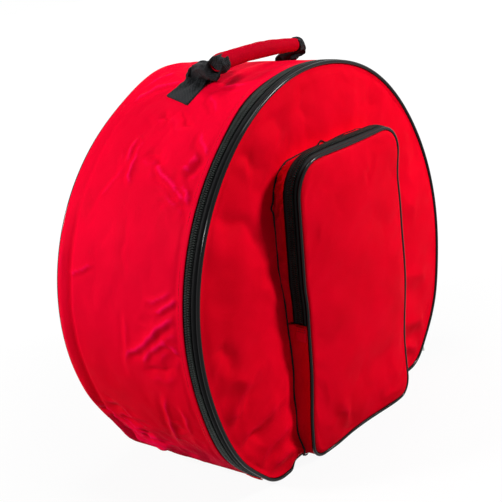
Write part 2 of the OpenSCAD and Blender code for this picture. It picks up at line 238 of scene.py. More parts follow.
# Slack of the pocket, given in its own plane, and then its place in front of the lid
def slackPocket(points):
    x, y, z = np.moveaxis(points, -1, 0)
    give = pocketSlack
    front = 1 - smooth(y / 24)
    right = smooth(x / 77)
    left = smooth(-x / 77)
    low = (1 - smooth(z / 60)) * front
    swing = smooth((x + 30) / 90) * low
    forward = give["forward"] * low * smooth((x + 70) / 30) + give["swing"] * swing + front * right * (
        give["rightOut"] * bump(z - 115, 45) - give["rightSink"] * bump(z - 212, 18))
    out = -left * (give["leftHigh"] * smooth((z - 140) / 25) + give["leftLow"] * (1 - smooth((z - 30) / 60)))
    out = out - give["swingIn"] * swing * right
    top = smooth((z - 205) / 45)
    rise = top * give["topLean"] * bump(x + 45, 35) * front
    rise = rise + give["topPuff"] * top * smooth((y - 2) / 8) * (1 - smooth((y - 13) / 9)) * bump(x + 18, 55)
    x = x + out
    y = y - forward
    z = z + rise
    lean = pocket["lean"]
    return np.stack([x, shell["frontY"] - pocket["depthLow"] + y * math.cos(lean) - z * math.sin(lean),
                     pocket["low"] + y * math.sin(lean) + z * math.cos(lean)], -1)


# Points of the slack shell or pocket, from the length along its outline, the depth and how far they stand out
def onShell(s, y, out):
    x, z = alongOutline(shellOutline, s, out)
    return slackShell(np.stack(np.broadcast_arrays(x, y, z), -1))


def onPocket(s, y, out):
    x, z = alongOutline(pocketOutline, s, out)
    return slackPocket(np.stack(np.broadcast_arrays(x, y, z), -1))


# Depth, in the pocket's own frame, at which its side meets the finished lid
def pocketRear(s, out=0):
    _, z = alongOutline(pocketOutline, s, out)
    flat = (pocket["depthLow"] + z * math.sin(pocket["lean"])) / math.cos(pocket["lean"])
    place = onPocket(s, flat, out).reshape(-1, 3)
    rise = np.empty(len(place))
    for k, point in enumerate(place):
        gaps = (lidSurface[:, 0] - point[0]) ** 2 + (lidSurface[:, 2] - point[2]) ** 2
        near = np.argpartition(gaps, 4)[:4]
        weights = 1 / (gaps[near] + 0.5)
        rise[k] = shell["frontY"] - np.sum(lidSurface[near, 1] * weights) / weights.sum()
    return flat - rise.reshape(np.shape(flat)) / math.cos(pocket["lean"])


# Piece from points in millimetres, faces, and one UV pair in millimetres for each face corner
def newPiece(name, points, faces, uvs, rounded=False):
    mesh = bpy.data.meshes.new(name)
    mesh.from_pydata((np.asarray(points) / 1000).tolist(), [], [list(face) for face in faces])
    layer = mesh.uv_layers.new(name="pattern")
    layer.data.foreach_set("uv", (np.asarray(uvs) / 1000).astype(np.float32).ravel())
    mesh.polygons.foreach_set("use_smooth", [True] * len(mesh.polygons))
    work = bmesh.new()
    work.from_mesh(mesh)
    bmesh.ops.recalc_face_normals(work, faces=work.faces)
    work.to_mesh(mesh)
    work.free()
    piece = bpy.data.objects.new(name, mesh)
    bpy.context.scene.collection.objects.link(piece)
    if rounded:
        modifier = piece.modifiers.new("roundness", "SUBSURF")
        modifier.levels = modifier.render_levels = 1
    return piece


# Quads of a grid of rows and columns, as pairs of row and column for each corner
def gridQuads(rows, columns):
    i, j = np.meshgrid(np.arange(rows - 1), np.arange(columns - 1), indexing="ij")
    corners = [(i, j), (i + 1, j), (i + 1, j + 1), (i, j + 1)]
    return np.stack([np.stack(corner, -1) for corner in corners], -2).reshape(-1, 4, 2)


# Closed sheet between two grids of points. With ring, the last row joins the first.
def sheetPiece(name, outer, inner, u, v, ring=False):
    rows, columns = outer.shape[:2]
    last = rows + 1 if ring else rows
    quads = gridQuads(last, columns)
    u, v = np.broadcast_arrays(u, v)
    index = (quads[..., 0] % rows) * columns + quads[..., 1]
    flat = np.stack([u[quads[..., 0], quads[..., 1]], v[quads[..., 0], quads[..., 1]]], -1)
    faces = [index, index[:, ::-1] + rows * columns]
    uvs = [flat, flat[:, ::-1]]
    edges = [[(row, column) for row in range(last)] for column in (0, columns - 1)]
    if not ring:
        edges += [[(row, column) for column in range(columns)] for row in (0, rows - 1)]
    for line in edges:
        for (i0, j0), (i1, j1) in zip(line[:-1], line[1:]):
            a, b = (i0 % rows) * columns + j0, (i1 % rows) * columns + j1
            faces.append(np.array([[a, b, b + rows * columns, a + rows * columns]]))
            ua, ub = (u[i0, j0], v[i0, j0]), (u[i1, j1], v[i1, j1])
            uvs.append(np.array([[ua, ub, ub, ua]]))
    points = np.concatenate([outer.reshape(-1, 3), inner.reshape(-1, 3)])
    return newPiece(name, points, np.concatenate(faces), np.concatenate(uvs), rounded=True)


# Skin round a row of rings of points. With loop, the last ring joins the first; otherwise the ends close.
def ringsPiece(name, rings, lengths, loop=False):
    rows, around = rings.shape[:2]
    quads = gridQuads(rows + 1 if loop else rows, around + 1)
    index = (quads[..., 0] % rows) * around + quads[..., 1] % around
    side = np.linalg.norm(rings[0] - np.roll(rings[0], 1, 0), axis=1).mean()
    uvs = np.stack([lengths[quads[..., 0]], quads[..., 1] * side], -1)
    faces = [list(face) for face in index]
    uvs = uvs.reshape(-1, 2).tolist()
    if not loop:
        for row in (0, rows - 1):
            faces.append([row * around + k for k in range(around)])
            uvs += [[lengths[row], k * side] for k in range(around)]
    return newPiece(name, rings.reshape(-1, 3), faces, uvs, rounded=True)


def gridNormals(grid):
    normals = np.cross(np.gradient(grid, axis=0), np.gradient(grid, axis=1))
    return normals / np.linalg.norm(normals, axis=-1, keepdims=True)


# Steps along a stretch, about as far apart as asked
def steps(start, end, spacing):
    return np.linspace(start, end, max(2, int(abs(end - start) / spacing) + 1))


# Band of a given section along the outline: section rows are (place along the depth, outward offset)
def bandPiece(name, place, start, end, section, thickness, spacing=3, ring=False):
    s = steps(start, end, spacing)
    rows = s[:-1] if ring else s
    y, out = np.array(section, float).T
    outer = place(rows[:, None], y[None], out[None])
    inner = place(rows[:, None], y[None], (out - thickness)[None])
    across = np.concatenate([[0], np.cumsum(np.hypot(np.diff(y), np.diff(out)))])
    return sheetPiece(name, outer, inner, s[:, None], across[None], ring)


# Round cord along the outline
def pipingPiece(name, place, start, end, y, out, diameter, spacing=2.5, ring=False, sides=10):
    s = steps(start, end, spacing)
    rows = s[:-1] if ring else s
    angles = np.arange(sides) / sides * 2 * math.pi
    rings = place(rows[:, None], y + diameter / 2 * np.cos(angles)[None],
                  out + diameter / 2 * np.sin(angles)[None])
    return ringsPiece(name, rings, s, ring)


# Many small closed grains in one piece. The points are given as grain, ring along it, and place round it.
def grainsPiece(name, points):
    count, rings, sides = points.shape[:3]
    quads = gridQuads(rings, sides + 1)
    one = quads[..., 0] * sides + quads[..., 1] % sides
    offsets = np.arange(count) * rings * sides
    faces = (one[None] + offsets[:, None, None]).reshape(-1, 4).tolist()
    caps = [list(range(sides)), list(range((rings - 1) * sides, rings * sides))]
    faces += [[k + offset for k in cap] for offset in offsets.tolist() for cap in caps]
    return newPiece(name, points.reshape(-1, 3), faces, np.zeros((sum(map(len, faces)), 2)))


grain = dict(
    sides=6,
    toothPlaces=(0, 0.12, 0.5, 0.88, 1), toothFatness=(0.35, 0.9, 1, 0.9, 0.35),
    stitchPlaces=(-0.5, -0.38, 0, 0.38, 0.5), stitchFatness=(0.3, 0.9, 1, 0.9, 0.3),
    pitch=3.2, thread=0.55, stitchShare=0.8,   # stitches: spacing, thickness, and length as a share of it
)


# Row of rounded grains across a seam or zip, such as teeth, each half as wide as the given half
def teethPiece(name, place, centres, y0, y1, out, half, height, slant=0):
    t, fat = np.array([grain["toothPlaces"], grain["toothFatness"]])[:, None, :, None]
    angles = np.arange(grain["sides"]) / grain["sides"] * 2 * math.pi
    s = centres[:, None, None] + fat * half * np.cos(angles) + slant * (t - 0.5)
    y = np.broadcast_to(y0 + (y1 - y0) * t, s.shape)
    lift = np.broadcast_to(out + fat * height / 2 * np.sin(angles), s.shape)
    return grainsPiece(name, place(s, y, lift))


# Stitches along the outline: short grains that lie along it
def stitchPiece(name, place, start, end, y, out):
    pitch, sides = grain["pitch"], grain["sides"]
    centres = np.arange(start + pitch / 2, end, pitch)
    t = np.array(grain["stitchPlaces"]) * pitch * grain["stitchShare"]
    fat = np.array(grain["stitchFatness"]) * grain["thread"] / 2
    angles = np.arange(sides) / sides * 2 * math.pi
    s = np.broadcast_to(centres[:, None, None] + t[None, :, None], (len(centres), len(t), sides))
    return grainsPiece(name, place(s, y + fat[None, :, None] * np.cos(angles),
                                   out + fat[None, :, None] * np.sin(angles)))


# Grid that fills an outline: a square grid pressed into the outline's shape, with even quads
def fillGrid(outline, inset, centre, halfWidth, halfHeight, rows, columns):
    u, v = np.meshgrid(np.linspace(-1, 1, rows), np.linspace(-1, 1, columns), indexing="ij")
    x = u * np.sqrt(1 - v**2 / 2) * halfWidth
    z = v * np.sqrt(1 - u**2 / 2) * halfHeight
    share = np.hypot(x / halfWidth, z / halfHeight)
    edgeX, edgeZ = alongOutline(outline, np.linspace(0, outline["length"], 1441)[:-1], -inset)
    edgeAngle = np.arctan2(edgeX - centre[0], edgeZ - centre[1])
    order = np.argsort(edgeAngle)
    reach = np.hypot(edgeX - centre[0], edgeZ - centre[1])[order]
    angle = np.arctan2(x, z)
    far = np.interp(angle, edgeAngle[order], reach, period=2 * math.pi)
    return centre[0] + share * far * np.sin(angle), centre[1] + share * far * np.cos(angle)


# Distance from points in the outline's plane to the outline
def outlineDistance(outline, x, z):
    edgeX, edgeZ = alongOutline(outline, np.linspace(0, outline["length"], 361)[:-1])
    flat = np.stack([x.ravel(), z.ravel()], -1)
    gaps = np.hypot(flat[:, :1] - edgeX[None], flat[:, 1:] - edgeZ[None])
    return gaps.min(1).reshape(x.shape)


# Coated polyester over foam: hard to stretch, easy to bend, and too stiff for small wrinkles
drape = dict(
    quality=5, frames=20, mass=0.25, stretch=25, shear=10, bending=1.5, damping=12, bendingDamping=1.5,
)


# Settles a grid of cloth under a light pressure from the foam behind it, with its seams held.
# Growth is the share of extra cloth that buckles into soft wrinkles, and no point moves further than cap.
def settleCloth(name, grid, held, pressure, growth, cap):
    rows, columns = grid.shape[:2]
    quads = gridQuads(rows, columns)
    faces = quads[..., 0] * columns + quads[..., 1]
    mesh = bpy.data.meshes.new(name)
    mesh.from_pydata((grid.reshape(-1, 3) / 1000).tolist(), [], faces.tolist())
    work = bpy.data.objects.new(name, mesh)
    bpy.context.scene.collection.objects.link(work)
    pins = work.vertex_groups.new(name="seams")
    pins.add(np.flatnonzero(held.ravel()).tolist(), 1.0, "REPLACE")
    modifier = work.modifiers.new("cloth", "CLOTH")
    cloth = modifier.settings
    cloth.quality = drape["quality"]
    cloth.mass = drape["mass"]
    cloth.tension_stiffness = cloth.compression_stiffness = drape["stretch"]
    cloth.shear_stiffness = drape["shear"]
    cloth.bending_stiffness = drape["bending"]
    cloth.tension_damping = cloth.compression_damping = cloth.shear_damping = drape["damping"]
    cloth.bending_damping = drape["bendingDamping"]
    cloth.vertex_group_mass = "seams"
    cloth.use_pressure = True
    cloth.uniform_pressure_force = pressure
    cloth.shrink_min = cloth.shrink_max = -growth
    cloth.effector_weights.gravity = 0
    modifier.collision_settings.use_collision = False
    modifier.point_cache.frame_start = 1
    modifier.point_cache.frame_end = drape["frames"]
    scene = bpy.context.scene
    for frameNumber in range(1, drape["frames"] + 1):
        scene.frame_set(frameNumber)
    settled = work.evaluated_get(bpy.context.evaluated_depsgraph_get())
    points = np.zeros(rows * columns * 3)
    settled.data.vertices.foreach_get("co", points)
    scene.frame_set(1)
    bpy.data.objects.remove(work)
    bpy.data.meshes.remove(mesh)
    move = points.reshape(grid.shape) * 1000 - grid
    far = np.linalg.norm(move, axis=-1, keepdims=True) + 1e-9
    print(f"  {name}: cloth moved {far.max():.1f} mm at most, {np.mean(far):.2f} mm on average")
    return grid + move * np.minimum(1, cap / far)


def hexColour(code):
    channels = [int(code[i:i + 2], 16) / 255 for i in (1, 3, 5)]
    linear = [c / 12.92 if c <= 0.04045 else ((c + 0.055) / 1.055) ** 2.4 for c in channels]
    return (*linear, 1)


# Adds a node. Inputs that are sockets are linked, and other inputs are set.
def addNode(material, kind, inputs=None, **settings):
    node = material.node_tree.nodes.new(kind)
    for key, value in settings.items():
        setattr(node, key, value)
    for key, value in (inputs or {}).items():
        if isinstance(value, bpy.types.NodeSocket):
            material.node_tree.links.new(value, node.inputs[key])
        else:
            node.inputs[key].default_value = value
    return node


def newMaterial(name):
    material = bpy.data.materials.new(name)
    material.use_nodes = True
    material.node_tree.nodes.clear()
    return material


# Ends a material in one Principled shader
def closeMaterial(material, **inputs):
    named = {key.replace("_", " "): value for key, value in inputs.items()}
    shader = addNode(material, "ShaderNodeBsdfPrincipled", named)
    addNode(material, "ShaderNodeOutputMaterial", {"Surface": shader.outputs[0]})
    return material


waveScale = 314   # scale of a wave texture that has one band in each millimetre


# Plain weave of the given thread pitch: raised crossings from two sets of threads
def weaveHeight(material, coordinates, pitch):
    bands = [addNode(material, "ShaderNodeTexWave", {"Vector": coordinates, "Scale": waveScale / pitch,
                                                     "Distortion": 0.25, "Detail": 1.0, "Detail Scale": 2.0},
                     wave_type="BANDS", bands_direction=way) for way in ("X", "Y")]
    centred = [addNode(material, "ShaderNodeMath", {0: band.outputs["Fac"], 1: 0.5}, operation="SUBTRACT")
               for band in bands]
    crossing = addNode(material, "ShaderNodeMath", {0: centred[0].outputs[0], 1: centred[1].outputs[0]},
                       operation="MULTIPLY")
    return addNode(material, "ShaderNodeMath", {0: crossing.outputs[0], 1: 2.0, 2: 0.5},
                   operation="MULTIPLY_ADD").outputs[0]


# Two colours mixed by a noise of the given grain
def mottled(material, coordinates, codes, grain, detail=3.0, reach=(0.35, 0.65)):
    noise = addNode(material, "ShaderNodeTexNoise", {"Vector": coordinates, "Scale": 1000 / grain,
                                                     "Detail": detail, "Roughness": 0.6})
    ramp = addNode(material, "ShaderNodeValToRGB", {"Fac": noise.outputs["Fac"]})
    for element, position, code in zip(ramp.color_ramp.elements, reach, codes):
        element.position = position
        element.color = hexColour(code)
    return ramp.outputs["Color"], noise.outputs["Fac"]


def mixColour(material, factor, first, second, way="MIX"):
    node = addNode(material, "ShaderNodeMix", {"Factor": factor}, data_type="RGBA", blend_type=way)
    for place, colour in ((6, first), (7, second)):
        if isinstance(colour, bpy.types.NodeSocket):
            material.node_tree.links.new(colour, node.inputs[place])
        else:
            node.inputs[place].default_value = colour
    return node.outputs[2]


# Woven polyester, dyed red and calendered: a dense plain weave with a faint sparkle, and a satin sheen
# that turns pinkish at a low angle. Its 0.5 mm threads are drawn 1.5 mm apart so that they show.
# The sparkle is a painted glint in the base colour. Where the wear-and-sheen attribute is high, a pink
# painted highlight and sheen is mixed in, along with real wear on the crests.
def redPolyester(name, codes):
    material = newMaterial(name)
    pattern = addNode(material, "ShaderNodeTexCoord").outputs["UV"]
    place = addNode(material, "ShaderNodeTexCoord").outputs["Object"]
    weave = weaveHeight(material, pattern, 1.5)
    dyed, _ = mottled(material, place, codes, 60)
    speckle = addNode(material, "ShaderNodeTexNoise", {"Vector": pattern, "Scale": 700, "Detail": 2.0})
    spark = addNode(material, "ShaderNodeMath", {0: speckle.outputs["Fac"], 1: weave}, operation="MULTIPLY")
    sparkle = addNode(material, "ShaderNodeMapRange", {0: spark.outputs[0], 1: 0.25, 2: 0.5, 3: 0.0, 4: 0.22})
    # painted glint: specks of the weave lightened to a bright pink
    glinted = mixColour(material, sparkle.outputs[0], dyed, hexColour("#ff0c44"))
    # painted highlight and sheen, with real wear on the crests: pink mixed in by the wear-and-sheen attribute
    sheenAndWear = addNode(material, "ShaderNodeAttribute", attribute_name="wearAndSheen")
    colour = mixColour(material, sheenAndWear.outputs["Fac"], glinted, hexColour("#ff0a54"))
    gloss = addNode(material, "ShaderNodeTexNoise", {"Vector": place, "Scale": 40, "Detail": 2.0})
    rough = addNode(material, "ShaderNodeMapRange", {0: gloss.outputs["Fac"], 1: 0.3, 2: 0.7,
                                                     3: 0.55, 4: 0.7})
    relief = addNode(material, "ShaderNodeBump", {"Height": weave, "Strength": 0.35, "Distance": 0.0004})
    return closeMaterial(material, Base_Color=colour, Roughness=rough.outputs[0], Normal=relief.outputs[0],
                         Specular_IOR_Level=0.012, Sheen_Weight=0.05, Sheen_Roughness=0.4,
                         Sheen_Tint=hexColour("#ff0848"))


# PVC piping, extruded over a cord: black and glossy, with a soft grey highlight and slight dullness
def blackPiping():
    material = newMaterial("PVC, extruded black")
    place = addNode(material, "ShaderNodeTexCoord").outputs["Object"]
    colour, _ = mottled(material, place, ("#050506", "#09090b"), 25)
    wearAndSheen = addNode(material, "ShaderNodeTexNoise", {"Vector": place, "Scale": 60, "Detail": 2.0})
    rough = addNode(material, "ShaderNodeMapRange", {0: wearAndSheen.outputs["Fac"], 1: 0.35, 2: 0.65,
                                                     3: 0.13, 4: 0.22})
    relief = addNode(material, "ShaderNodeBump", {"Height": wearAndSheen.outputs["Fac"], "Strength": 0.05,
                                                  "Distance": 0.0006})
    return closeMaterial(material, Base_Color=colour, Roughness=rough.outputs[0], Normal=relief.outputs[0],
                         Specular_IOR_Level=0.15)


# Black cloths and threads with a weave. The pitch is coarser than the real threads', so that it shows.
def wovenCloth(name, codes, pitch, roughness, sheen, strength, coordinates="UV", grain=12):
    material = newMaterial(name)
    pattern = addNode(material, "ShaderNodeTexCoord").outputs[coordinates]
    place = addNode(material, "ShaderNodeTexCoord").outputs["Object"]
    weave = weaveHeight(material, pattern, pitch)
    colour, noise = mottled(material, place, codes, grain)
    shaded = mixColour(material, 0.35, colour, weave, "OVERLAY")
    rough = addNode(material, "ShaderNodeMapRange", {0: noise, 1: 0.3, 2: 0.7,
                                                     3: roughness - 0.06, 4: roughness + 0.06})
    relief = addNode(material, "ShaderNodeBump", {"Height": weave, "Strength": strength, "Distance": 0.0005})
    return closeMaterial(material, Base_Color=shaded, Roughness=rough.outputs[0], Normal=relief.outputs[0],
                         Specular_IOR_Level=0.07, Sheen_Weight=sheen * 0.15, Sheen_Roughness=0.4)


# Polyethylene foam, blown and sliced: matt dark grey with fine closed cells
def foamMaterial():
    material = newMaterial("polyethylene foam, blown and sliced")
    place = addNode(material, "ShaderNodeTexCoord").outputs["Object"]
    colour, _ = mottled(material, place, ("#2c2c2e", "#3a3a3d"), 8)
    cells = addNode(material, "ShaderNodeTexVoronoi", {"Vector": place, "Scale": 900})
    relief = addNode(material, "ShaderNodeBump", {"Height": cells.outputs["Distance"], "Strength": 0.5,
                                                  "Distance": 0.0005})
    return closeMaterial(material, Base_Color=colour, Roughness=0.85, Normal=relief.outputs[0])


# Zinc alloy, die-cast and nickel plated: bright grey, a little uneven, with dull rubbed patches
def platedZinc():
    material = newMaterial("zinc alloy, die-cast and nickel plated")
    place = addNode(material, "ShaderNodeTexCoord").outputs["Object"]
    colour, noise = mottled(material, place, ("#b4b3b0", "#cfcecb"), 6)
    rough = addNode(material, "ShaderNodeMapRange", {0: noise, 1: 0.3, 2: 0.7, 3: 0.2, 4: 0.36})
    relief = addNode(material, "ShaderNodeBump", {"Height": noise, "Strength": 0.08, "Distance": 0.0003})
    return closeMaterial(material, Base_Color=colour, Roughness=rough.outputs[0], Normal=relief.outputs[0],
                         Metallic=1.0)


red = redPolyester("polyester, woven and dyed red", ("#dc0018", "#ea001e"))
# The sleeve of the grip is of the same cloth, darkened with painted shade
shadedRed = redPolyester("polyester, woven and dyed red, with painted shade", ("#a00014", "#ae0018"))
vinyl = blackPiping()
# Nylon taffeta, woven fine and dyed black: smooth with a dull sheen
lining = wovenCloth("nylon taffeta, woven black", ("#101012", "#18181a"), 1.2, 0.6, 0.2, 0.25)
# Polyester grosgrain, woven in ribs: the edge binding, matt with fine cross ribs
grosgrain = wovenCloth("polyester grosgrain, woven black", ("#0c0c0d", "#131315"), 1.4, 0.65, 0.1, 0.5)
# Polyester zip tape, woven tight: smooth black with a slight gloss
tapeCloth = wovenCloth("polyester tape, woven black", ("#060607", "#0b0b0d"), 1.2, 0.45, 0.0, 0.3)
# Nylon monofilament, wound into a coil: dark grey, with a gloss on every tooth
coilNylon = wovenCloth("nylon monofilament, wound black", ("#232725", "#303532"), 2.0, 0.38, 0.2, 0.1,
                       "Object")
# Polypropylene webbing, woven thick: charcoal with coarse threads and a dry sheen
webbingCloth = wovenCloth("polypropylene webbing, woven black", ("#0a0b0c", "#26282b"), 2.2, 0.6, 0.3, 1.0,
                            grain=2.5)
# Polyester thread, twisted and dyed red
redThread = wovenCloth("polyester thread, twisted and dyed red", ("#b40018", "#cf0420"), 0.8, 0.5, 0.3, 0.2,
                       "Object")
foam = foamMaterial()
nickel = platedZinc()
print("materials made")


# Gives a piece its finish and body, and the nodes that it stands for
def settle(piece, material, slot, body, *nodes):
    piece.data.materials.append(material)
    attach(piece, body)
    if nodes:
        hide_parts(*nodes)
    return piece


# Camera: angles in degrees, distance in metres, lens and sensor in millimetres
view = dict(
    azimuth=-50.39, elevation=19.33, roll=-8.19, yaw=-0.63, pitch=1.05, distance=0.914,
    lens=70.8, sensor=36,
)


def makeCamera():
    azimuth, elevation, roll, yaw, pitch = (
        math.radians(view[key]) for key in ("azimuth", "elevation", "roll", "yaw", "pitch"))
    back = Vector((math.sin(azimuth) * math.cos(elevation), -math.cos(azimuth) * math.cos(elevation),
                   math.sin(elevation)))
    right = (-back).cross(Vector((0, 0, 1))).normalized()
    up = right.cross(-back)
    look = -back * math.cos(yaw) * math.cos(pitch) + right * math.sin(yaw) * math.cos(pitch)
    look = look + up * math.sin(pitch)
    right = look.cross(up).normalized()
    up = right.cross(look)
    turnedRight = right * math.cos(roll) + up * math.sin(roll)
    turnedUp = up * math.cos(roll) - right * math.sin(roll)
    camera = bpy.data.objects.new("camera", bpy.data.cameras.new("camera"))
    camera.data.lens = view["lens"]
    camera.data.sensor_width = view["sensor"]
    turn = Matrix((turnedRight, turnedUp, -look)).transposed().to_4x4()
    place = back * view["distance"] + Vector((0, 0, shell["centreZ"] / 1000))
    camera.matrix_world = Matrix.Translation(place) @ turn
    bpy.context.scene.collection.objects.link(camera)
    bpy.context.scene.camera = camera


makeCamera()
print("camera placed")


# Cloth of the wall: its folds, and the painted sheen and floor light in its colour
wall = dict(
    ridge=1.9, ridgeY=71.5, ridgeWidth=4.2,    # raised band along the rear seam
    groove=2.4, grooveY=61.5, grooveWidth=2.6,   # the hollow beside it
    hem=0.7,                                   # turned edge beside the zip
    puff=1.2,                                  # swell of the padding between the seams
    foldWidth=0.8, foldHeight=1.5, crumpleHeight=1.6, deepest=2.6,
    unevenness=0.8,
    spacing=1.9,
    strapPlaces=(-60, 88), strapY=9, strapReach=24,   # the cloth lies flat under the handle's two sewn ends
    paintedLight=0.13, paintedLightFrom=-112, paintedLightOver=40,        # painted sheen on the upper, lit side, as angles from the top
    paintedBounce=0.3, paintedBounceAt=-128, paintedBounceOver=8,         # painted light from the floor on the lower corner
    foamGap=2.6,                                     # the padding stays below the deepest fold
    coverLap=0.9, liningLap=1.6,                     # how far the base's cloths reach past the corner seams
    # folds as angle from the top and depth at both ends, width and height
    folds=[(-38, 15, -42.4, 14, 3, 1.2), (-42.4, 14, -48.7, 10, 3.5, 1.8), (-36, 23, -42.5, 24, 3, 0.8),
           (-44.7, 24, -53, 37, 3.5, 0.8), (-44, -13, -49.2, -39.6, 3, 1.7),
           (-49.2, -39.6, -54.4, -61, 3, 2.2),
           (-49, -40, -50, -51, 2.5, 1.4), (-50, -51, -53, -64, 2.5, 1.8), (-40.8, 1, -42.5, -20, 6, -2.2),
           (-41, -57, -47, -50, 5, -2.6), (-34, -44, -41, -60, 4, 1.4), (-27, -4, -31.5, -28, 6, -2.0),
           (-73, 60, -70.6, 34, 2.6, 1.0), (-58, 3, -71, -6, 7, -0.8), (-21.7, 60, -17.4, 50, 2.6, 1.2),
           (-17.4, 50, -13, 28, 3, 1.4), (-16, 63, -9, 46, 2.8, 1.2), (-26, 12, -31, 2, 5, -1.4),
           (-78.6, -41, -75.4, -64, 3, 1.9), (-77, -30, -74.5, -54, 3.4, 1.2), (-91, -6, -86, -30, 3.5, 2.0),
           (-86, -30, -80.5, -53, 3.5, 2.2), (-91.5, -22, -86, -43, 3, 1.3), (-86, -43, -88.4, -60, 3, 1.3),
           (-82, -7, -94, -1, 4, 0.9), (-95, -22, -92.8, -49, 5, -1.8), (-102, -35, -119, -17, 4, 1.4),
           (-105, -47, -113, -46, 3.5, 1.2), (-120, 60, -121, 20, 3, 2.4), (-121, 20, -123, 3, 3, 1.8),
           (-115.8, 41, -119.6, 20, 2.8, 1.6), (-130, 57, -129.5, 20, 3.5, 2.0), (-125, 44, -126, 6, 3, 1.6),
           (-112, 62, -117, 46, 3, 1.2), (-20, -24, -27, -46, 4, 1.0), (-17, -30, -15, -52, 3, 1.2),
           (22, -20, 34, -50, 4, 1.6), (38, 10, 46, -34, 4, 1.8), (62, 50, 74, 12, 4, 1.4),
           (78, -10, 88, -52, 4, 2.0), (96, 30, 106, -20, 4, 1.8), (114, 60, 124, 14, 4, 2.2),
           (54, -48, 66, -60, 3, 1.4), (10, 40, 24, 58, 4, 1.2), (118, -20, 128, -52, 4, 2.0),
           (84, 62, 92, 36, 3, 1.2)],
    # crumpled patches as angle, depth, radius, height and ridge spacing
    crumples=[(-50, -46, 26, 0.45, 11), (-40, 16, 22, 0.4, 10), (-86, -40, 30, 0.45, 12),
              (-120, 38, 40, 1.1, 13), (-128, 5, 34, 0.9, 14), (-116, -34, 26, 0.4, 12),
              (-15, 48, 22, 0.4, 10), (48, -30, 32, 0.6, 13),
              (84, 20, 36, 0.5, 14), (118, 10, 44, 1.0, 14)],
)


# How far the outer cloth stands proud of the pattern, in the wall and in the base
def wallHeights(s, y, fine=1):
    onWall = smooth((zipReach - np.abs(s)) / 18 + 0.5)
    fade = smooth((y - shell["wallFrontY"] - 2) / 9) * smooth((shell["wallRearY"] - y) / 5)
    folds = [(a0 * degree, y0, a1 * degree, y1, width * wall["foldWidth"], height * wall["foldHeight"])
             for a0, y0, a1, y1, width, height in wall["folds"]]
    folded = foldHeights(s, y, folds)
    patches = [(angle * degree, y0, radius, height * wall["crumpleHeight"], ridges)
               for angle, y0, radius, height, ridges in wall["crumples"]]
    folded = np.maximum(folded + crumpleHeights(s, y, patches, 90), -wall["deepest"])
    soft = ripple(s, y, 46, 3) * wall["unevenness"] + ripple(s, y, 19, 8) * 0.2
    low = smooth((np.abs(s) / degree - 104) / 20) * ripple(s, y, 30, 12)
    rear = wall["ridge"] * bump(y - wall["ridgeY"], wall["ridgeWidth"])
    rear = rear - wall["groove"] * bump(y - wall["grooveY"], wall["grooveWidth"])
    rear = rear * (0.2 + 0.8 * smooth((np.abs(s) / degree - 52) / 20))
    fromZip = y - shell["wallFrontY"]
    hem = wall["hem"] * (bump(fromZip - 2.5, 2.4) - 0.9 * bump(fromZip - 6.5, 1.6))
    swell = wall["puff"] * np.sin(np.pi * np.clip((y + 60) / 124, 0, 1))
    shape = fade * (folded * fine + soft + low + swell) + rear + hem * fine
    return onWall * shape + (1 - onWall) * fade * soft * 0.4


# Stores the wear-and-sheen attribute: real wear together with painted highlight and sheen
def wearAndSheenOf(piece, heights):
    values = np.clip(heights, 0, 1)
    attribute = piece.data.attributes.new("wearAndSheen", "FLOAT", "POINT")
    attribute.data.foreach_set("value", np.concatenate([values.ravel()] * 2).astype(np.float32))


# Sharp places of a height field, which catch the light and fade first: they get a painted highlight along
# with their wear
def crestOf(heights, spacing):
    bend = -sum(np.gradient(np.gradient(heights, axis=k), axis=k) for k in (0, 1)) / spacing**2
    return smooth((bend - 0.08) / 0.35) * 0.6


def buildWall():
    s = steps(-zipReach, zipReach, wall["spacing"])
    y = steps(shell["wallFrontY"], shell["wallRearY"], wall["spacing"])
    u, v = np.meshgrid(s, y, indexing="ij")
    heights = wallHeights(u, v)
    grid = onShell(u, v, heights)
    edge = np.minimum(v - shell["wallFrontY"], shell["wallRearY"] - v)
    turn = u / degree
    strapX = np.minimum(*(np.abs(u - place) for place in wall["strapPlaces"]))
    underStrap = (strapX < wall["strapReach"]) & (np.abs(v - wall["strapY"]) < wall["strapReach"])
    held = (edge < 5) | (zipReach - np.abs(u) < 4) | underStrap
    grid = settleCloth("wallCloth", grid, held, pressure=1.5, growth=0.003, cap=4)
    normals = gridNormals(grid)
    if np.sum(normals[0, 0] * (grid[0, 0] - np.array([0, grid[0, 0, 1], shell["centreZ"]]))) < 0:
        normals = -normals
    cover = sheetPiece("wallCover", grid, grid - normals * shell["cloth"], u, v)
    # painted sheen on the lit upper side and painted light from the floor on the lower corner, mixed in as
    # pink
    paintedLight = wall["paintedLight"] * smooth((turn - wall["paintedLightFrom"]) / wall["paintedLightOver"])
    paintedLight = paintedLight + wall["paintedBounce"] * bump(turn - wall["paintedBounceAt"], wall["paintedBounceOver"])
    wearAndSheenOf(cover, crestOf(heights, wall["spacing"]) + paintedLight)
    settle(cover, red, "red_polyester", "bag", "wall_cover")


def layerShape(start, end, y, spacing):
    u, v = np.meshgrid(steps(start, end, spacing), y, indexing="ij")
    wrapped = np.where(u > shellOutline["length"] / 2, u - shellOutline["length"], u)
    return u, v, wallHeights(wrapped, v, fine=0)


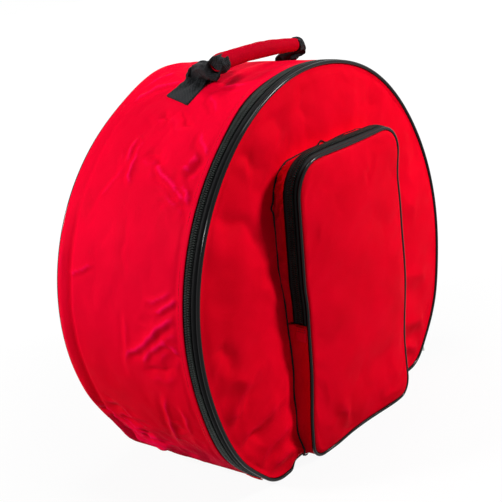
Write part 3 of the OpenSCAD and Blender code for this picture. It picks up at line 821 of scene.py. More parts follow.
# Padding and lining behind a stretch of the shell: they follow the cover's folds more and more faintly
def buildLayers(prefix, start, end, lap=0, spacing=5):
    y = steps(shell["wallFrontY"] + 4, shell["wallRearY"], spacing)
    u, v, shape = layerShape(start + 0.25, end - 0.25, y, spacing)
    depth = shell["cloth"] + shell["foam"] - 0.8
    gap = wall["foamGap"] if prefix == "wall" else 0.3
    outside = np.minimum(shape * 0.8, shape - 0.3) - shell["cloth"] - gap
    padding = sheetPiece(prefix + "Foam", onShell(u, v, outside), onShell(u, v, shape * 0.3 - depth), u, v)
    settle(padding, foam, "foam_padding", "bag", prefix + "_foam")
    # the two linings are sewn together along the corners, so both lie flat there
    u, v, shape = layerShape(start - lap, end + lap, y, spacing)
    fromSeam = np.abs(np.minimum(u, shellOutline["length"] - u) - zipReach)
    quilt = shape * 0.3 + ripple(u, v, 30, 21) * 0.4 * smooth(np.minimum(fromSeam, np.abs(u + zipReach)) / 20)
    inside = sheetPiece(prefix + "Lining", onShell(u, v, quilt - depth - 0.1),
                        onShell(u, v, quilt - depth - shell["lining"] - 0.1), u, v)
    settle(inside, lining, "black_lining", "bag", prefix + "_lining")


def buildBase():
    s = steps(zipReach - wall["coverLap"], shellOutline["length"] - zipReach + wall["coverLap"], 4)
    y = steps(lidHigh[1] + 1.3, shell["wallRearY"], 4)
    u, v = np.meshgrid(s, y, indexing="ij")
    wrapped = np.where(u > shellOutline["length"] / 2, u - shellOutline["length"], u)
    heights = wallHeights(wrapped, v)
    _, z = alongOutline(shellOutline, u)
    heights = np.where(z < 1, np.minimum(heights, 0) * 0.5, heights)
    grid = onShell(u, v, heights)
    cover = sheetPiece("baseCover", grid, onShell(u, v, heights - shell["cloth"]), u, v)
    wearAndSheenOf(cover, np.zeros(u.shape))
    cover.data.materials.append(red)
    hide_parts("base_cover")
    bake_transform(cover)


buildWall()
buildBase()
buildLayers("wall", -zipReach, zipReach)
buildLayers("base", zipReach, shellOutline["length"] - zipReach, wall["liningLap"])
print("shell walls made")


panelCentre = (0, 150)   # where the grids of the back and the lid start, across and up


# Point grid of a flat panel across the shell, at a depth, with a height field towards the outside
def panelGrid(x, z, y, heights, outward):
    return slackShell(np.stack(np.broadcast_arrays(x, y + outward * heights, z), -1))


back = dict(
    puff=2.2, unevenness=0.9,
    gutter=0.6,                 # the hollow beside the seam
)


def buildBack():
    x, z = fillGrid(shellOutline, 3.2, panelCentre, 1, 1, 84, 84)
    edge = outlineDistance(shellOutline, x, z)
    puff = back["puff"] * smooth((edge - 4) / 50)
    soft = ripple(x, z, 70, 31) * back["unevenness"] + ripple(x, z, 24, 33) * 0.15
    heights = puff + smooth((edge - 6) / 30) * soft - back["gutter"] * bump(edge - 8, 3)
    outer = panelGrid(x, z, shell["rearY"] - 0.3, heights, 1)
    cover = sheetPiece("backCover", outer, panelGrid(x, z, shell["rearY"] - 1.3, heights, 1), x, z)
    wearAndSheenOf(cover, np.zeros(x.shape))
    settle(cover, red, "red_polyester", "bag", "back_cover")
    x, z = fillGrid(shellOutline, 6.6, panelCentre, 1, 1, 48, 48)
    edge = outlineDistance(shellOutline, x, z)
    soft = ripple(x, z, 70, 31) * 0.6 * smooth((edge - 10) / 30)
    middle, face = backHigh[1] - shell["cloth"] - 0.4, boxOf("back_foam")[0][1]
    padding = sheetPiece("backFoam", panelGrid(x, z, middle, soft, 1), panelGrid(x, z, face, soft * 0.3, 1),
                         x, z)
    settle(padding, foam, "foam_padding", "bag", "back_foam")
    quilt = soft * 0.3 + ripple(x, z, 40, 35) * 0.4 * smooth((edge - 10) / 30)
    inside = sheetPiece("backLining", panelGrid(x, z, face - 0.1, quilt, 1),
                        panelGrid(x, z, face - 0.7, quilt, 1), x, z)
    settle(inside, lining, "black_lining", "bag", "back_lining")


lid = dict(
    convex=3.6, unevenness=1.4, foldHeight=1.7,
    seamPull=1.4, seamWidth=9,                       # the pocket's seam draws the lid in
    # slack that hangs over the rim beside the pocket
    lipX=-80, lipWidth=18, lipZ=12, lipSpread=10, lipHeight=8.0,
    # folds as x and z at both ends, width and height
    folds=[(-108, 283, -95, 266, 5, -1.8), (-146, 245, -103, 208, 12, -2.0), (-170, 143, -150, 126, 9, -2.2),
           (-174, 124, -166, 114, 6, -1.4), (-172, 84, -138, 104, 6, 2.0), (-162, 79, -146, 94, 4, 1.4),
           (-158, 50, -128, 58, 6, -2.2), (-134, 15, -98, 20, 6, 2.6), (-122, 8, -84, 12, 4, -1.6),
           (-168, 112, -118, 113, 8, 1.6), (-150, 56, -112, 78, 7, 2.0), (-140, 34, -96, 44, 7, 2.2),
           (-118, 60, -88, 90, 9, 1.4), (-24, 312, -18, 286, 10, -1.0), (-64, 300, -56, 276, 12, -1.2),
           (60, 290, 90, 262, 14, -1.2), (104, 210, 128, 150, 14, 1.2), (98, 110, 140, 84, 9, 1.6),
           (92, 60, 132, 40, 7, 1.8), (94, 30, 126, 14, 5, 1.8), (-96, 150, -110, 190, 14, 1.2)],
)


def lidLip(x, z):
    return lid["lipHeight"] * bump(x - lid["lipX"], lid["lipWidth"]) * bump(z - lid["lipZ"], lid["lipSpread"])


def lidHeights(x, z):
    edge = outlineDistance(shellOutline, x, z)
    level = lid["convex"] * smooth((edge - 2) / 60)
    fade = smooth((edge - 3) / 16)
    soft = ripple(x, z, 58, 41) * lid["unevenness"] + ripple(x, z, 22, 43) * 0.2
    seam = outlineDistance(pocketOutline, x, z - pocket["low"])
    draw = -lid["seamPull"] * bump(seam, lid["seamWidth"])
    lip = lidLip(x, z) * smooth((edge - 1) / 5)
    gutter = -0.8 * bump(edge - 6, 2.5)
    folded = foldHeights(x, z, lid["folds"]) * lid["foldHeight"]
    return level + fade * (folded + soft + draw) + lip + gutter


def buildLid():
    x, z = fillGrid(shellOutline, 2.6, panelCentre, 1, 1, 100, 100)
    heights = lidHeights(x, z)
    grid = panelGrid(x, z, shell["frontY"], heights, -1)
    edge = outlineDistance(shellOutline, x, z)
    seam = outlineDistance(pocketOutline, x, z - pocket["low"])
    grid = settleCloth("lidCloth", grid, (edge < 6) | (seam < 3), pressure=1.2, growth=0.003, cap=4)
    cover = sheetPiece("lidCover", grid, grid + np.array([0, shell["cloth"], 0]), x, z)
    wearAndSheenOf(cover, crestOf(heights, 3.7) * 0.5)
    settle(cover, red, "red_polyester", "lid", "lid_cover")
    x, z = fillGrid(shellOutline, 5.2, panelCentre, 1, 1, 48, 48)
    heights = lidHeights(x, z) - lidLip(x, z)
    face = lidHigh[1]
    inner = boxOf("lid_foam")[1][1]
    outside = np.minimum(heights * 0.8, heights - 0.3)
    padding = sheetPiece("lidFoam", panelGrid(x, z, face + 2.0, outside, -1),
                         panelGrid(x, z, inner, heights * 0.3, -1), x, z)
    settle(padding, foam, "foam_padding", "lid", "lid_foam")
    quilt = heights * 0.3 + ripple(x, z, 40, 45) * 0.4
    inside = sheetPiece("lidLining", panelGrid(x, z, inner + 0.1, quilt, -1),
                        panelGrid(x, z, inner + 0.7, quilt, -1), x, z)
    settle(inside, lining, "black_lining", "lid", "lid_lining")
    return grid.reshape(-1, 3)


buildBack()
lidSurface = buildLid()   # for the pocket's sides to meet
print("lid and back made")


# Piping, and the teeth of both zips
trim = dict(
    piping=3.5, rearPiping=3.0,
    # teeth of both zips' coils: spacing, half their width, height, how far they lean and stand out
    toothPitch=1.9, toothHalf=0.62, toothHeight=2.0, toothSlant=0.6, toothOut=0.05,
)


# One half of a zip's coil: teeth that reach from their own tape to just past the middle
def coilPiece(name, place, centres, start, end, body, node):
    teeth = teethPiece(name, place, centres, start, end, trim["toothOut"], trim["toothHalf"],
                       trim["toothHeight"], trim["toothSlant"])
    settle(teeth, coilNylon, "nylon_coil", body, node)


def buildTrim():
    whole = shellOutline["length"]
    rim = pipingPiece("lidPiping", onShell, 0, whole, shell["frontY"] + 0.3, -1.3, trim["piping"], ring=True)
    settle(rim, vinyl, "black_piping", "lid", "lid_piping")
    rear = pipingPiece("backPiping", onShell, 0, whole, shell["wallRearY"] + trim["rearPiping"] / 2,
                       -1 - trim["rearPiping"] / 2, trim["rearPiping"], ring=True)
    settle(rear, vinyl, "black_piping", "bag", "back_piping")

    low, high = boxOf("front_edge_binding")
    section = [(high[1] + 0.6, -2.2), (low[1] + 1, -1.7), (low[1] - 0.4, -2.2), (low[1] - 0.6, -4),
               (low[1] - 0.2, -5.6), (low[1] + 1.2, -6.6), (high[1] + 0.6, -6.9)]
    edge = bandPiece("frontEdgeBinding", onShell, 0, whole, section, 0.5, ring=True)
    settle(edge, grosgrain, "edge_binding", "bag", "front_edge_binding")

    low, high = boxOf("back_seam_binding")
    section = [(high[1] + 0.2, -6.4), (low[1] + 0.6, -6.6), (low[1], -7.4), (low[1] + 0.8, -8.6),
               (high[1], -9.4)]
    seam = bandPiece("backSeamBinding", onShell, 0, whole, section, 0.6, ring=True)
    settle(seam, grosgrain, "edge_binding", "bag", "back_seam_binding")

    low, high = boxOf("lid_edge_binding")
    section = [(low[1] - 0.2, -3.4), (low[1] + 1.5, -3.1), (high[1] - 1, -3.2), (high[1] + 0.5, -4),
               (high[1] + 0.6, -5.4), (high[1] + 0.3, -8.5)]
    edge = bandPiece("lidEdgeBinding", onShell, 0, whole, section, 0.6, ring=True)
    settle(edge, grosgrain, "edge_binding", "lid", "lid_edge_binding")


def buildMainZip():
    reach = zipReach
    rearMiddle, frontMiddle = rearCoilLow[1], frontCoilHigh[1]
    section = [(rearMiddle + 0.2, -1.1), (rearMiddle + 2.6, -1.0), (shell["wallFrontY"] - 0.6, -0.75),
               (shell["wallFrontY"] + 0.8, -1.1), (shell["wallFrontY"] + 3.6, -1.3)]
    tape = bandPiece("mainZipRearTape", onShell, -reach, reach, section, 0.8)
    settle(tape, tapeCloth, "zip_tape", "bag", "main_zip_rear_tape")
    front = shell["frontY"]
    section = [(frontMiddle - 0.2, -1.1), (frontMiddle - 2.5, -1.05), (frontMiddle - 2.9, -0.5),
               (frontMiddle - 3.6, 0.5), (frontMiddle - 4.8, 0.95), (frontMiddle - 6.0, 0.6),
               (frontMiddle - 6.8, -0.4), (frontMiddle - 7.4, -1.0), (front + 1.6, -1.2)]
    tape = bandPiece("mainZipFrontTape", onShell, -reach, reach, section, 0.8)
    settle(tape, tapeCloth, "zip_tape", "lid", "main_zip_front_tape")
    pitch = trim["toothPitch"]
    centres = np.arange(-reach + 2, reach - 2, pitch)
    coilPiece("mainZipRearCoil", onShell, centres, rearCoilHigh[1], rearMiddle - 0.75, "bag",
              "main_zip_rear_coil")
    coilPiece("mainZipFrontCoil", onShell, centres + pitch / 2, frontCoilLow[1], frontMiddle + 0.75, "lid",
              "main_zip_front_coil")
    row = stitchPiece("wallFrontStitching", onShell, -reach, reach, shell["wallFrontY"] + 4.4, 0.25)
    settle(row, redThread, "red_polyester", "bag")


def buildMainTabs():
    low, high = boxOf("main_zip_end_tabs")
    y = steps(low[1], high[1], 1.2)
    for side, way in (("left", -1), ("right", 1)):
        s = steps(way * (zipReach - 1.6), way * (zipReach + 6.4), 1)
        u, v = np.meshgrid(s, y, indexing="ij")
        across = (v - low[1]) / (high[1] - low[1])
        out = 1.1 + 0.35 * np.sin(np.pi * across) - 0.5 * bump(np.abs(u) - zipReach - 1.2, 0.7)
        tab = sheetPiece(f"mainZipTab.{side}", onShell(u, v, out), onShell(u, v, out - 0.9), u, v)
        wearAndSheenOf(tab, np.zeros(u.shape))
        settle(tab, red, "red_polyester", "bag", "main_zip_end_tabs")


buildTrim()
buildMainZip()
buildMainTabs()
print("trim and main zip made")


# Front panel of the pocket
panel = dict(
    edgeInset=2.6, crown=2.6, thick=2.4, unevenness=0.8,
    folds=[(26, 241, 15, 222, 5, -1.6), (-40, 44, -34, 20, 5, 1.8), (-30, 40, -26, 16, 5, -1.2),
           (24, 16, 66, 6, 5, 1.2), (-50, 236, -20, 206, 14, -1.0), (0, 200, 50, 170, 18, -1.2),
           (-58, 210, -50, 150, 12, -0.8), (30, 120, 60, 60, 20, 0.8), (52, 232, 68, 214, 8, -0.8),
           (-64, 80, -58, 40, 8, 0.8), (40, 46, 62, 24, 8, 0.9), (-10, 60, 10, 24, 12, -0.9)],
)


def buildPocketPanel():
    half = pocket["width"] / 2
    centre = (0, pocket["length"] / 2)
    x, z = fillGrid(pocketOutline, panel["edgeInset"], centre, half, centre[1], 61, 97)
    edge = outlineDistance(pocketOutline, x, z)
    level = panel["crown"] * smooth((edge - 2) / 34) - 1.3 * (1 - smooth((edge - 2) / 4))
    soft = ripple(x, z, 52, 51) * panel["unevenness"] + ripple(x, z, 20, 53) * 0.15
    heights = level + smooth((edge - 4) / 14) * (soft + foldHeights(x, z, panel["folds"]))
    grid = slackPocket(np.stack([x, -heights, z], -1))
    grid = settleCloth("pocketCloth", grid, edge < 6, pressure=1.0, growth=0.002, cap=3)
    front = sheetPiece("pocketPanel", grid, grid + np.array([0, panel["thick"], 0]), x, z)
    wearAndSheenOf(front, crestOf(heights, 2.6) * 0.4)
    front.data.materials.append(red)
    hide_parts("pocket_lower_panel", "pocket_flap_panel")
    foldAcross(front)


# Bakes a piece's place into its mesh
def foldAcross(piece):
    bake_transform(piece)


# Lengths along the pocket's outline from its top middle to the fold, on the right and on the left
def pocketPlaces():
    s = np.linspace(0, pocketOutline["length"], 4001)
    x, z = alongOutline(pocketOutline, s)
    onSide = x > pocket["width"] / 2 - 1
    foldRight = s[onSide][np.argmin(np.abs(z[onSide] - pocket["flapHeight"]))]
    return foldRight, pocketOutline["length"] - foldRight


foldRight, foldLeft = pocketPlaces()
pocketEnd = pocketOutline["length"]


# The sides spread towards the lid, and the top sinks
def flareAt(s):
    _, z = alongOutline(pocketOutline, s)
    top = smooth((z - 200) / 45)
    return pocketSlack["flare"] * (1 - top) - pocketSlack["topSink"] * top


gusset = dict(
    # crumpled patches of the upper gusset: place along it, depth, radius, height and ridge spacing
    crumples=[(-75, 26, 26, 1.6, 9), (-100, 26, 18, 1.3, 8), (40, 26, 30, 1.0, 12), (-150, 24, 26, 0.8, 12)],
    # the corded seam at its base, with pinched ears: place along it and spread
    seamRadius=0.8, ears=[(-3, 3.5), (-100, 3.0)], earHeight=3.5,
)


# Side of the pocket, from behind its zip or panel to the lid
def gussetPiece(name, start, end, frontY, crush, seed, tuck=2.0, patches=()):
    s = steps(start, end, 1.8)
    t = np.linspace(0, 1, 15)
    rear = pocketRear(s) + 0.7
    u, v = np.meshgrid(s, t, indexing="ij")
    y = frontY + (rear[:, None] - frontY) * v
    hollow = -tuck * np.sin(np.pi * v) + flareAt(u) * v**2
    crumple = crush * ripple(u, y * 2, 24, seed) * np.sin(np.pi * v) ** 0.7
    crumple = crumple + crumpleHeights(u, y * 1.3, patches, seed) * np.sin(np.pi * v) ** 0.5
    out = hollow + crumple
    grid = onPocket(u, y, out)
    piece = sheetPiece(name, grid, onPocket(u, y, out - 1), u, y)
    wearAndSheenOf(piece, crestOf(out, 1.8) * 0.5)
    return piece, (abs(end - start) / 1000, float(np.mean(rear - frontY)) / 1000)


def buildPocketSides():
    upperStart, upperEnd = foldLeft - pocketEnd, foldRight
    upper, flat = gussetPiece("pocketUpperGusset", upperStart, upperEnd, pocket["zipY"] + 5.2, 0.8, 61,
                              patches=gusset["crumples"])
    settle(upper, red, "red_polyester", "lid", "pocket_upper_gusset")
    lower, flat = gussetPiece("pocketLowerGusset", foldRight, foldLeft, 3.2, 0.7, 63, tuck=1.0)
    settle(lower, red, "red_polyester", "lid", "pocket_lower_gusset")

    # corded seam round the base of the pocket
    s = steps(0, pocketEnd, 2.0)[:-1]
    ears = sum(gusset["earHeight"] * bump(s - turn - place, spread)
               for place, spread in gusset["ears"] for turn in (0, pocketEnd))
    angles = np.arange(8) / 8 * 2 * math.pi
    rear = pocketRear(s)
    out = flareAt(s) + 0.4 + ears
    rings = onPocket(s[:, None], rear[:, None] - 0.6 + gusset["seamRadius"] * np.cos(angles)[None],
                     out[:, None] + gusset["seamRadius"] * np.sin(angles)[None])
    seam = ringsPiece("pocketBaseSeam", rings, np.append(s, pocketEnd), loop=True)
    settle(seam, grosgrain, "edge_binding", "lid", "pocket_base_seam")

    # piping round the panel
    edge = pipingPiece("pocketPiping", onPocket, 0, pocketEnd, 2, -1, trim["piping"] - 0.6, ring=True)
    edge.data.materials.append(vinyl)
    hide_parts("pocket_lower_piping", "pocket_flap_piping")
    foldAcross(edge)


def buildPocketZip():
    start, end = foldLeft - pocketEnd + 0.5, foldRight - 0.5
    middle = pocket["zipY"]
    section = [(middle + 0.6, -1.0), (middle + 3.0, -0.9), (middle + 3.5, -0.2), (middle + 5.0, 0.5),
               (middle + 6.6, 0.3), (middle + 7.6, -0.6)]
    rear = bandPiece("pocketZipRearTape", onPocket, start, end, section, 0.7)
    settle(rear, tapeCloth, "zip_tape", "lid", "pocket_zip_rear_tape")
    section = [(middle - 0.6, -1.0), (middle - 2.8, -0.9), (middle - 3.2, 0.1), (middle - 4.2, 0.9),
               (middle - 5.2, 0.7), (middle - 6.2, -0.4)]
    front = bandPiece("pocketZipFrontTape", onPocket, start, end, section, 0.7)
    settle(front, tapeCloth, "zip_tape", "pocket_flap", "pocket_zip_front_tape")
    pitch = trim["toothPitch"]
    centres = np.arange(start + 2, end - 2, pitch)
    coilPiece("pocketZipRearCoil", onPocket, centres, middle + 3.0, middle - 0.3, "lid",
              "pocket_zip_rear_coil")
    coilPiece("pocketZipFrontCoil", onPocket, centres + pitch / 2, middle - 3.0, middle + 0.3, "pocket_flap",
              "pocket_zip_front_coil")

    # folded tabs over the ends of the zip
    for side, at, way in (("right", foldRight, 1), ("left", foldLeft, -1)):
        s = steps(at + way * 1.2, at + way * 14.5, 1.2)
        y = steps(middle - 5.2, middle + 5.6, 1.1)
        u, v = np.meshgrid(s, y, indexing="ij")
        rounded = -0.5 * bump(np.abs(v - middle) - 5.4, 1.2)
        out = 1.0 + rounded - 0.25 * bump(np.abs(u - at) - 3.2, 0.6)
        tab = sheetPiece(f"pocketZipTab.{side}", onPocket(u, v, out), onPocket(u, v, out - 0.8), u, v)
        wearAndSheenOf(tab, np.full(u.shape, 0.15))
        settle(tab, red, "red_polyester", "lid", "pocket_zip_end_tabs")
        for row, shift in enumerate((3.2, 5.4)):
            yRow = np.arange(middle - 4.4, middle + 4.6, 1.9)
            seam = at + way * shift
            grains = teethPiece(f"pocketTabStitching.{side}{row}", lambda a, b, c: onPocket(b, a, c), yRow,
                                seam - 0.25, seam + 0.25, 1.15, 0.75, 0.5)
            settle(grains, redThread, "red_polyester", "lid")


buildPocketPanel()
buildPocketSides()
buildPocketZip()
print("pocket made")


# Smooth line through given points, as many values in each row as asked
def splineThrough(points, count):
    points = np.array(points, float)
    padded = np.vstack([2 * points[0] - points[1], points, 2 * points[-1] - points[-2]])
    t = np.linspace(0, len(points) - 1 - 1e-9, count)
    i = t.astype(int)
    f = (t - i)[:, None]
    a, b, c, d = padded[i], padded[i + 1], padded[i + 2], padded[i + 3]
    return 0.5 * (2 * b + (c - a) * f + (2 * a - 5 * b + 4 * c - d) * f**2 + (3 * b - a - 3 * c + d) * f**3)


# Webbing along a line. Rows: place, direction of its width, width, depth of its pleats.
def webbingPiece(name, rows, pleats, count=70, across=24, seed=5):
    thickness = handle["webThick"]
    values = splineThrough([[*place, *wide, width, pleat] for place, wide, width, pleat in rows], count)
    centre, wide, width, pleat = values[:, :3], values[:, 3:6], values[:, 6], values[:, 7]
    ahead = np.gradient(centre, axis=0)
    ahead /= np.linalg.norm(ahead, axis=1, keepdims=True)
    wide = wide / np.linalg.norm(wide, axis=1, keepdims=True)
    face = np.cross(ahead, wide)
    face /= np.linalg.norm(face, axis=1, keepdims=True)
    length = np.concatenate([[0], np.cumsum(np.linalg.norm(np.diff(centre, axis=0), axis=1))])
    v = np.linspace(-0.5, 0.5, across)
    u = length[:, None]
    wave = np.sin(2 * math.pi * pleats * v[None] + 0.12 * u + 0.7)
    wave = wave + 0.6 * ripple(u, v[None] * 30, 13, seed) + 0.3 * ripple(u, v[None] * 30, 6, seed + 1)
    push = pleat[:, None] * wave
    outer = (centre[:, None] + wide[:, None] * (v[None, :, None] * width[:, None, None])
             + face[:, None] * (push[..., None] + thickness / 2))
    outer = outer + ahead[:, None] * (0.5 * pleat[:, None] * ripple(u, v[None] * 30, 16, seed + 2))[..., None]
    normals = gridNormals(outer)
    normals = normals * np.sign(np.sum(normals * face[:, None], axis=-1, keepdims=True))
    inner = outer - normals * thickness
    piece = sheetPiece(name, outer, inner, u, v[None] * handle["webWidth"])
    piece.data.materials.append(webbingCloth)
    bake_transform(piece)
    return piece


handle = dict(
    gripHalf=57, gripX=-2.5, radiusLeft=7.4, radiusRight=6.2, lean=60, wrap=1.0,
    gripY=-29, gripTopX=-30, gripTop=340.2, gripDrop=0.00079,
    webThick=1.8, webWidth=32,
    # where each end's webbing stops following the wall and starts to follow the grip, in metres
    bendLeft=((-0.046, 0.009, 0.322), (-0.036, -0.010, 0.336)),
    bendStrap=((-0.050, 0.009, 0.3165), (-0.036, -0.010, 0.336)),
    bendFold=((-0.046, 0.009, 0.322), (-0.032, -0.006, 0.342)),
    bendRight=((0.072, 0.009, 0.312), (0.074, -0.006, 0.326)),
)


# Point on the wall's cloth above a given x
def onWallTop(x, y, out):
    angle = math.atan2(x, shell["radius"])
    for _ in range(6):
        angle += math.atan2(x - float(onShell(angle * shell["radius"], y, out)[0]), shell["radius"])
    return tuple(float(value) for value in onShell(angle * shell["radius"], y, out))


# Height of the grip's middle line
def gripHeight(x):
    return handle["gripTop"] - handle["gripDrop"] * (x - handle["gripTopX"]) ** 2


# Middle line of the grip, from its left end to its right end
def gripLine(count):
    x = handle["gripX"] + np.linspace(-1, 1, count) * handle["gripHalf"]
    y = handle["gripY"] + 0.8 * np.sin(x / 30)
    return np.stack([x, y, gripHeight(x)], -1)


def gripRings(line, inset, sides=20, crease=0.0, seed=71):
    ahead = np.gradient(line, axis=0)
    ahead /= np.linalg.norm(ahead, axis=1, keepdims=True)
    lean = math.radians(handle["lean"])
    up = np.array([0, -math.sin(lean), math.cos(lean)])
    side = np.cross(ahead, up)
    side /= np.linalg.norm(side, axis=1, keepdims=True)
    top = np.cross(side, ahead)
    angles = np.arange(sides) / sides * 2 * math.pi
    t = np.linspace(-1, 1, len(line))
    radius = handle["radiusLeft"] + (handle["radiusRight"] - handle["radiusLeft"]) * (t + 1) / 2 - inset
    girth = radius * (1 + 0.03 * np.sin(t * 5 + 1) - 0.1 * smooth((np.abs(t) - 0.9) / 0.1))
    around = angles[None] * handle["radiusLeft"]
    dents = crease * (ripple(line[:, :1], around, 17, seed) + 0.5 * ripple(line[:, :1], around, 7, seed + 2))
    reach = girth[:, None] + dents
    return (line[:, None] + side[:, None] * (reach * np.cos(angles))[..., None]
            + top[:, None] * (reach * np.sin(angles))[..., None])


# Gathered webbing over an end of the grip: round rings on the grip, then flatter ones along the strap
def capPiece(name, onGrip, onStrap, seed, drop=0.0, crush=0.08, sides=44, count=40):
    angles = np.arange(sides) / sides * 2 * math.pi
    rows = []
    for (x, y), radius in onGrip:
        rows.append([x, y, gripHeight(x) - drop, 0, 0.5 * radius, 0.86 * radius,
                     0, -0.86 * radius, 0.5 * radius])
    for place, wide, thick in onStrap:
        wide = np.array(wide, float)
        ahead = np.array([1.0, 0.6, 0]) if place[0] < 0 else np.array([1.0, 0, -0.6])
        face = np.cross(ahead, wide)
        face = face / np.linalg.norm(face) * thick
        if face[1] > 0:
            face = -face
        rows.append([*place, *wide, *face])
    values = splineThrough(rows, count)
    centre, wide, face = values[:, :3], values[:, 3:6], values[:, 6:9]
    length = np.concatenate([[0], np.cumsum(np.linalg.norm(np.diff(centre, axis=0), axis=1))])
    creases = np.sqrt(ripple(length[:, None], angles[None] * 8, 11, seed, 5) ** 2 + 0.004)
    gather = 1 + 0.04 * np.sin(angles * 9 + 1)[None] + crush * (1 - 2.6 * creases)
    rings = centre[:, None] + gather[..., None] * (wide[:, None] * np.cos(angles)[None, :, None]
                                                   + face[:, None] * np.sin(angles)[None, :, None])
    cap = ringsPiece(name, rings, length)
    cap.data.materials.append(webbingCloth)
    return cap


def buildGrip():
    line = gripLine(64)
    outer = gripRings(line, 0, crease=0.35)
    inner = gripRings(line, handle["wrap"], crease=0.35)
    length = np.linspace(0, 2 * handle["gripHalf"], len(line))
    girth = 2 * math.pi * handle["radiusLeft"]
    sides = outer.shape[1]
    around = np.arange(sides + 1) / sides * girth
    # the sleeve is a sheet wound once round, whose two long edges meet in a seam underneath
    cover = sheetPiece("gripCover", np.transpose(outer, (1, 0, 2)), np.transpose(inner, (1, 0, 2)),
                       around[:, None] + 0 * length[None], length[None] + 0 * around[:, None], ring=True)
    wearAndSheenOf(cover, np.zeros((sides, len(line))))
    # the sleeve takes the darker copy of the red cloth: painted shade
    settle(cover, shadedRed, "red_polyester", "handle", "handle_grip_cover")
    core = gripLine(48)[1:-1]
    padding = ringsPiece("gripFoam", gripRings(core, handle["wrap"] + 0.2, crease=0.2),
                         np.linspace(0, 2 * handle["gripHalf"], len(core)))
    settle(padding, foam, "foam_padding", "handle", "handle_foam")


# Webbing gathered over each end of the sleeve
def buildCaps():
    over = handle["radiusLeft"]
    onGrip = [((-50.5, -30.8), over + 0.1), ((-55, -30.6), over + 0.5), ((-61.2, -29.8), over - 0.3)]
    onStrap = [((-60.5, -25, 332.5), (-1, 5, 6), 5.2), ((-56, -18, 333), (-4, 5, 6), 5.2),
               ((-50, -10, 332), (-5, 6, 6), 6), ((-44, -2, 330.5), (-6, 8, 5), 6.8),
               ((-42, 5, 327), (-5, 9, 4), 7), ((-43, 10, 323), (-2, 9, 2), 5)]
    cap = capPiece("handleWebbing.leftCap", onGrip, onStrap, 17, drop=1.3, crush=0.04)
    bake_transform(cap)
    over = handle["radiusRight"]
    onGrip = [((50.5, -28.9), over + 0.2), ((54.5, -28.9), over + 0.5), ((57.5, -28.5), over)]
    onStrap = [((60.5, -27, 331.5), (0, 4, 6.5), 4.2), ((62, -22.5, 328), (3, 2, 5.5), 2.8),
               ((62, -18, 325), (6, 0, 4), 1.8)]
    cap = capPiece("handleWebbing.rightCap", onGrip, onStrap, 27)
    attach(cap, "handle")


def buildStraps():
    left = [(onWallTop(-70, 9.9, 1.8), (13.5, 34, 5.0), 37, 0.15),
            (onWallTop(-62, 9.0, 1.9), (11, 33, 3.0), 35, 0.25),
            (onWallTop(-54, 8.0, 2.2), (8, 33, 2.0), 31, 0.7),
            (onWallTop(-46, 8.0, 4.0), (2, 28, 1.0), 25, 1.6),
            ((-41, 6, 328), (-4, 22, 5), 22, 2.2),
            ((-44, -2, 331), (-8, 18, 9), 19, 2.4),
            ((-50, -10, 332.5), (-7, 10, 12), 16, 2.0),
            ((-56, -18, 333), (-3, 7, 12), 12, 1.2)]
    strap = webbingPiece("handleWebbing.left", left, pleats=1.8, seed=5)
    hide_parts("handle_webbing", "handle_sewn_ends")
    # the slack of the strap, wrapped over itself above the wall
    slack = [((-36, -4, 321), (12, 3, 2), 12, 0.6), ((-37, -7, 327), (12, 4, 2), 15, 1.4),
             ((-39, -4.5, 333), (12, 3, 1), 16, 1.8), ((-41, 2, 336.5), (12, 0, 1), 16, 1.8),
             ((-43, 9, 334), (12, 0, -1), 15, 1.6), ((-44, 12.5, 327), (12, 0, -2), 13, 1.0)]
    webbingPiece("handleWebbing.fold", slack, pleats=1.5, count=60, seed=25)
    right = [(onWallTop(92, 9, 1.8), (0, 30, 0), 32, 0.15),
             (onWallTop(85, 9, 1.9), (1, 30, 0), 31, 0.2),
             (onWallTop(78, 8, 2.6), (6, 28, 0), 30, 0.5),
             ((71, 4, 314.5), (20, 8, -6), 29, 0.8),
             ((66, -4, 318), (18, -2, -8), 25, 1.0),
             ((62, -12, 322), (14, -2, -8), 19, 1.2),
             ((61.5, -20, 327), (7, 0, -4), 12, 1.2),
             ((60.5, -26, 331), (4, 3, 5), 10, 0.8)]
    strap = webbingPiece("handleWebbing.right", right, pleats=1.4, seed=9)
    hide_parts("handle_webbing", "handle_sewn_ends")


buildGrip()
buildCaps()
buildStraps()
print("handle made")


# The frame's own zip sliders and pull tabs, with eased edges and plating
def buildSliders():
    for name in ("main_slider", "main_pull_tab", "pocket_slider", "pocket_pull_tab"):
        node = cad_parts[name]
        node.data.materials.clear()
        node.data.materials.append(nickel)
        ease = node.modifiers.new("easedEdges", "BEVEL")
        ease.width = 0.0003
        ease.segments = 2
        ease.limit_method = "ANGLE"


buildSliders()


# Floor and light
stage = dict(
    world=0.03,
    # lights: name, place, size and power
    lights=[("key", (-1.4, 0.9, 1.2), 0.35, 31), ("fill", (0.58, -0.8, 0.8), 0.25, 13.8),
            ("top", (0.1, 0.1, 1.8), 0.5, 10)],
    floorHalf=6.0, paper=1.06, shadow=0.12, shadowFrom=0.2, shadowReach=0.9,
)


def areaLight(name, place, target, size, power):
    lamp = bpy.data.lights.new(name, "AREA")
    lamp.shape = "DISK"
    lamp.size = size
    lamp.energy = power
    item = bpy.data.objects.new(name, lamp)
    item.location = place
    item.rotation_mode = "QUATERNION"
    item.rotation_quaternion = (Vector(target) - Vector(place)).to_track_quat("-Z", "Y")
    bpy.context.scene.collection.objects.link(item)


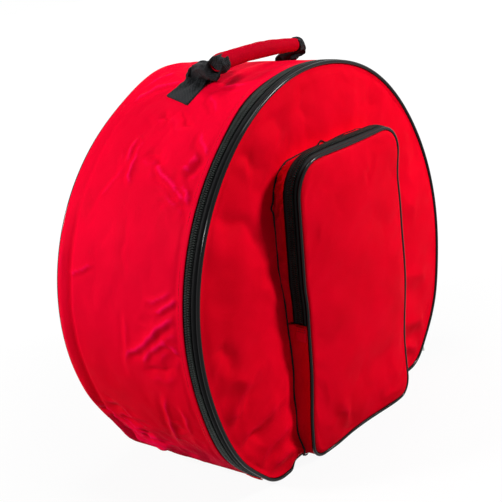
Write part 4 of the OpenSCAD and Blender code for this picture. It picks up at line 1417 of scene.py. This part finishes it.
# One where the ray comes from the eye, a mirror or glass
def plainRay(material):
    rays = addNode(material, "ShaderNodeLightPath")
    first = addNode(material, "ShaderNodeMath", {0: rays.outputs["Is Camera Ray"],
                                                 1: rays.outputs["Is Glossy Ray"]}, operation="MAXIMUM")
    return addNode(material, "ShaderNodeMath", {0: first.outputs[0], 1: rays.outputs["Is Transmission Ray"]},
                   operation="MAXIMUM").outputs[0]


def buildStage():
    floorMesh = bpy.data.meshes.new("floor")
    half = stage["floorHalf"]
    floorMesh.from_pydata([(-half, -half, 0), (half, -half, 0), (half, half, 0), (-half, half, 0)], [],
                          [(0, 1, 2, 3)])
    floor = bpy.data.objects.new("floor", floorMesh)
    bpy.context.scene.collection.objects.link(floor)
    paper = newMaterial("paper, coated white")
    lit = addNode(paper, "ShaderNodeBsdfDiffuse", {"Color": hexColour("#a8a8a8")})
    bright = addNode(paper, "ShaderNodeEmission", {"Color": (1, 1, 1, 1), "Strength": stage["paper"]})
    place = addNode(paper, "ShaderNodeTexCoord").outputs["Object"]
    far = addNode(paper, "ShaderNodeVectorMath", {0: place}, operation="LENGTH")
    blank = addNode(paper, "ShaderNodeMapRange", {0: far.outputs["Value"], 1: stage["shadowFrom"],
                                                  2: stage["shadowReach"], 3: 1 - stage["shadow"], 4: 1.0})
    share = addNode(paper, "ShaderNodeMath", {0: plainRay(paper), 1: blank.outputs[0]}, operation="MULTIPLY")
    mixed = addNode(paper, "ShaderNodeMixShader",
                    {0: share.outputs[0], 1: lit.outputs[0], 2: bright.outputs[0]})
    addNode(paper, "ShaderNodeOutputMaterial", {"Surface": mixed.outputs[0]})
    floorMesh.materials.append(paper)
    world = bpy.data.worlds.new("studio")
    world.use_nodes = True
    world.node_tree.nodes.clear()
    bpy.context.scene.world = world
    strength = addNode(world, "ShaderNodeMapRange",
                       {0: plainRay(world), 1: 0.0, 2: 1.0, 3: stage["world"], 4: 1.0})
    sky = addNode(world, "ShaderNodeBackground", {"Color": (1, 1, 1, 1), "Strength": strength.outputs[0]})
    addNode(world, "ShaderNodeOutputWorld", {"Surface": sky.outputs[0]})
    centre = (0, 0, shell["centreZ"] / 1000)
    for name, place, size, power in stage["lights"]:
        areaLight(name, place, centre, size, power)
    bpy.context.scene.view_settings.view_transform = "Standard"


buildStage()
print("stage made")
